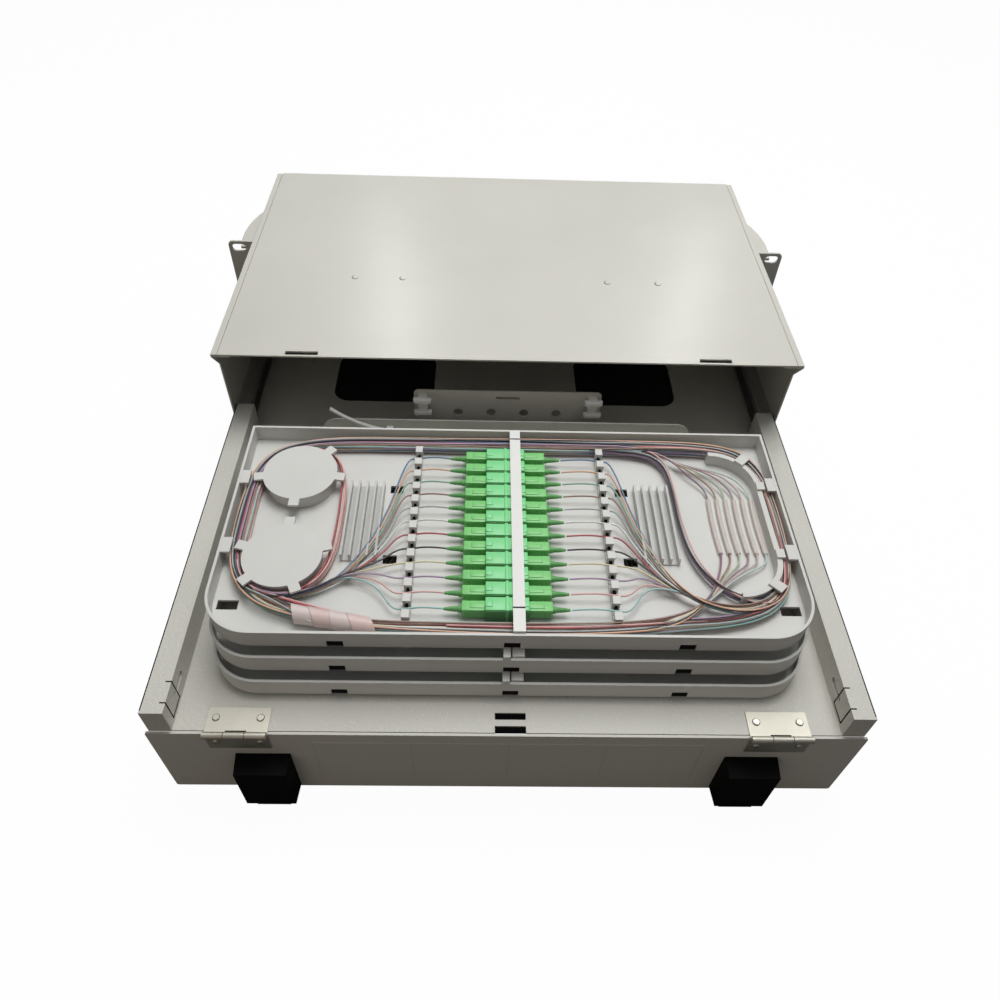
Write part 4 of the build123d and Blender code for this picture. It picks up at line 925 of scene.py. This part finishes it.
# Fibre routes: millimetres from the middle of the tray's rear edge, and half the bundle's width there
LEFT_TURN = ((-106, -130, 4), (-124, -142, 4), (-146, -148, 4), (-167, -139, 4), (-177, -117.5, 4),
             (-178, -81, 5), (-177, -44.5, 4), (-167, -23, 4), (-146, -13, 4), (-118, -10, 5))
REAR_RUN = ((-78, -9.5, 5), (-36, -9.5, 5), (6, -9.5, 5), (48, -9.5, 5), (84, -9.5, 5))
RIGHT_TURN = ((104, -140, 4), (136, -154, 4), (164, -148, 3.5), (178, -127, 3), (180.8, -81, 3),
              (179.5, -40, 3), (169, -17, 3), (142, -9.5, 4), (108, -9.5, 5))
FRONT_RUN = ((-150, -154, 3), (-118, -162.5, 2.8), (-84, -167, 3.2), (-40, -168, 5), (6, -168.5, 5),
             (52, -168, 5), (96, -164, 5))
SPARE_TURN = ((134, -9.5, 4), (165, -15.5, 3), (179.5, -40, 3), (180.8, -81, 3), (179, -122, 3),
              (169, -147, 3.5), (142, -160, 4.5))
SPOOL_TURN = ((-176, -100, 4), (-177, -60, 4), (-172, -28, 4), (-150, -12.5, 3), (-126, -20, 2),
              (-116, -40, 2.2), (-114.5, -81, 2.2), (-116, -118, 2.2), (-126, -139, 3), (-148, -147.5, 3),
              (-168, -138, 4), (-176, -118, 4), (-177, -84, 4))
GUIDE_TURN = ((60, -9.5, 5), (96, -12, 4), (112, -24, 2), (114.8, -50, 1.2), (115, -84, 1.2),
              (120, -117, 2), (138, -142, 3), (162, -148, 3.5), (178, -127, 3), (180.8, -81, 3),
              (179.5, -40, 3), (169, -17, 3), (142, -9.5, 4), (100, -9.5, 5))
SPARE_LOOPS = 26
SPARE_SHIFT = 9.0
SPOOL_LOOPS = (10, 6, 10, 3, 10, 1, 6, 10, 5, 10)
GUIDE_LOOPS = (9, 4, 7, 9, 4, 10, 9, 7)
HALF_TRAY_W = 187.0
HALF_TRAY_D = 88.5
LANE_WANDER = 0.12
RISE = (1.4, 8.2)
RISE_WANDER = 0.6
LIE_LOW = 1.0
LIE_HIGH = 8.6
WRAP_START = Vector((-133, -158.5, 5.4))
WRAP_END = Vector((-86, -166.8, 5.4))
WRAP_TURNS = 4
WRAP_LAP = 1.1
WRAP_R = 6.0 * MM
WRAP_INNER_R = 5.4 * MM
WRAP_SLANTS = (-0.45, -0.7)


class OBJECT_OT_drawer_fibres(DrawerOperator, bpy.types.Operator):
    """Lay the coloured fibres in the trays and wrap the front bundle"""

    bl_idname = "object.drawer_fibres"
    bl_label = "Fibres"

    def execute(self, context):
        look = context.scene.drawer_fibres
        coats = [fibre_coating(f"fibre_{n}", (*colour, 1.0)) for n, colour in enumerate(FIBRE_COLOURS)]
        films = [moulded(f"wrap_film_{n}", (0.78, 0.66 - 0.06 * n, 0.63 - 0.06 * n, 1.0), 0.25, alpha=0.86)
                 for n in range(2)]
        for number, (tray, body) in enumerate(TRAYS.items()):
            lay = random.Random(look.seed + number)
            full = tray == "top"
            low, high = corners(f"adapters_{tray}")
            origin = tray_origin(tray)
            length = high.y - low.y
            ends = [(high.y - length * (n + 0.5) / COUPLERS - origin.y) / MM for n in range(COUPLERS)]
            routes = []
            for n in range(SPARE_LOOPS if full else 0):
                routes.append((self.laid(origin, lay, self.loop_route(n)), (7 * n + 3) % len(FIBRE_COLOURS)))
            for turn, colours in ((SPOOL_TURN, SPOOL_LOOPS), (GUIDE_TURN, GUIDE_LOOPS)):
                routes.extend((self.laid(origin, lay, self.bundle(turn)), colour) for colour in colours)
            for n, y in enumerate(ends):
                routes.append((self.laid(origin, lay, self.left_route(n, y)), n))
                routes.append((self.laid(origin, lay, self.right_route(n, y, full)), n))
            piece = strands(f"fibre_lay_{tray}", routes, look.thickness / 2, 1, coats, body)
            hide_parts(f"fibres_{tray}")
            if full:
                self.spiral_wrap(tray, body, origin, films)
        return {"FINISHED"}

    @staticmethod
    def laid(origin, lay, route):
        """Points of a route; where a place has a spread, the fibre keeps its own lane of the bundle."""
        lane = lay.uniform(-1.0, 1.0)
        rise = lay.uniform(*RISE)
        points = []
        for x, y, z, spread in route:
            if spread:
                out = Vector((x / HALF_TRAY_W, (y + HALF_TRAY_D) / HALF_TRAY_D, 0)).normalized()
                out *= spread * max(-1.0, min(1.0, lane + lay.uniform(-LANE_WANDER, LANE_WANDER)))
                height = rise + lay.uniform(-RISE_WANDER, RISE_WANDER)
                x, y, z = x + out.x, y + out.y, min(LIE_HIGH, max(LIE_LOW, height))
            points.append(origin + Vector((x, y, z)) * MM)
        return points

    @staticmethod
    def bundle(places):
        """Places that lie in a bundle, at whatever height the fibre's lane has."""
        return [(x, y, 0.0, spread) for x, y, spread in places]

    @staticmethod
    def single(places):
        """Places that one fibre passes on its own."""
        return [(x, y, z, 0.0) for x, y, z in places]

    def left_route(self, n, y):
        """From a left boot through the comb, round both spools and along the rear wall into a sleeve."""
        comb = ((-41, y, 5.6), (-53, y, 7.6), (-65, y, 5.2), (-74, y - 1, 5.4), (-84, 0.4 * y - 76, 6.5))
        return self.single(comb) + self.bundle(LEFT_TURN + REAR_RUN) + self.single(self.rear_ends(n))

    @staticmethod
    def sleeve_place(n):
        """Where the sleeve of fibre n lies across the tray."""
        return (SLEEVE_X + SLEEVE_PITCH * (n % SLEEVES - (SLEEVES - 1) / 2)) / MM

    def rear_ends(self, n):
        """Last places of a fibre that goes into its sleeve from the rear."""
        sleeve = self.sleeve_place(n)
        return ((106, -13, 6.0), (119, -24, 5.8), (sleeve - 13, -35, 5.2), (sleeve - 3, -46, 3.6),
                (sleeve, -54, 2.0), (sleeve, -58, 1.9))

    def right_route(self, n, y, full):
        """From a right boot up the right side; in a full tray on round the spools and along the front."""
        sleeve = self.sleeve_place(n)
        comb = ((37, y, 5.6), (51, y, 7.6), (65, y, 5.2), (74, y - 1, 5.4), (84, 0.4 * y - 76, 6.5))
        ends = ((122, -148, 6.0), (0.4 * sleeve + 78, -126, 5.0), (sleeve - 2, -115, 3.4),
                (sleeve, -107, 2.0), (sleeve, -103, 1.9))
        if not full:
            return self.single(comb) + self.bundle(RIGHT_TURN[:-1]) + self.single(self.rear_ends(n))
        back = REAR_RUN[::-1] + LEFT_TURN[:2:-1]
        return self.single(comb) + self.bundle(RIGHT_TURN + back + FRONT_RUN) + self.single(ends)

    def loop_route(self, n):
        """A spare turn round the whole tray, which starts and ends in the left part of the front bundle."""
        start = (-84 - SPARE_SHIFT * (n % 5), -165, 3.5)
        return self.bundle((start, *LEFT_TURN[2:], *REAR_RUN, *SPARE_TURN, *FRONT_RUN[:2:-1]))

    @staticmethod
    def spiral_wrap(tray, body, origin, films):
        """Film wound slantwise round the front bundle, each turn lapping over the next."""
        bm = bmesh.new()
        for n in range(WRAP_TURNS):
            first, last = (origin + WRAP_START.lerp(WRAP_END, t / WRAP_TURNS) * MM for t in (n, n + WRAP_LAP))
            before = len(bm.verts)
            add_tube(bm, first, last, WRAP_R, WRAP_INNER_R, 24, n % 2)
            bm.verts.ensure_lookup_table()
            along = (last - first).normalized()
            for vert in bm.verts[before:]:
                vert.co += along * (vert.co.y - (first.y + last.y) / 2) * WRAP_SLANTS[n % 2]
        finished_object(f"spiral_wrap_{tray}", mesh_from("spiral_wrap", bm, 40), films, body)


class VIEW3D_PT_drawer(bpy.types.Panel):
    """The drawer's settings and the buttons that build it"""

    bl_label = "Fibre drawer"
    bl_space_type = "VIEW_3D"
    bl_region_type = "UI"
    bl_category = "Fibre drawer"

    def draw(self, context):
        layout = self.layout
        layout.use_property_split = True
        for group in (context.scene.drawer_finishes, context.scene.drawer_fibres, context.scene.drawer_stage):
            box = layout.box()
            for name in group.bl_rna.properties.keys():
                if name not in ("rna_type", "name"):
                    box.prop(group, name)
        for operator in OPERATORS:
            layout.operator(operator.bl_idname)


GROUPS = {"drawer_finishes": DrawerFinishes, "drawer_fibres": DrawerFibres, "drawer_stage": DrawerStage}
OPERATORS = (OBJECT_OT_drawer_housing, OBJECT_OT_drawer_slides, OBJECT_OT_drawer_pan, OBJECT_OT_drawer_door,
             OBJECT_OT_drawer_trays, OBJECT_OT_drawer_couplers, OBJECT_OT_drawer_splices,
             OBJECT_OT_drawer_fittings, OBJECT_OT_drawer_fibres, OBJECT_OT_drawer_stage)
CLASSES = (*GROUPS.values(), *OPERATORS, VIEW3D_PT_drawer)


def register():
    for cls in CLASSES:
        bpy.utils.register_class(cls)
    for name, group in GROUPS.items():
        setattr(bpy.types.Scene, name, bpy.props.PointerProperty(type=group))


def unregister():
    for name in GROUPS:
        delattr(bpy.types.Scene, name)
    for cls in reversed(CLASSES):
        bpy.utils.unregister_class(cls)


def main():
    register()
    bpy.ops.object.drawer_housing()
    bpy.ops.object.drawer_slides()
    bpy.ops.object.drawer_pan()
    bpy.ops.object.drawer_door()
    bpy.ops.object.drawer_trays()
    bpy.ops.object.drawer_couplers()
    bpy.ops.object.drawer_splices()
    bpy.ops.object.drawer_fittings()
    bpy.ops.object.drawer_fibres()
    bpy.ops.object.drawer_stage()


if __name__ == "__main__":
    main()
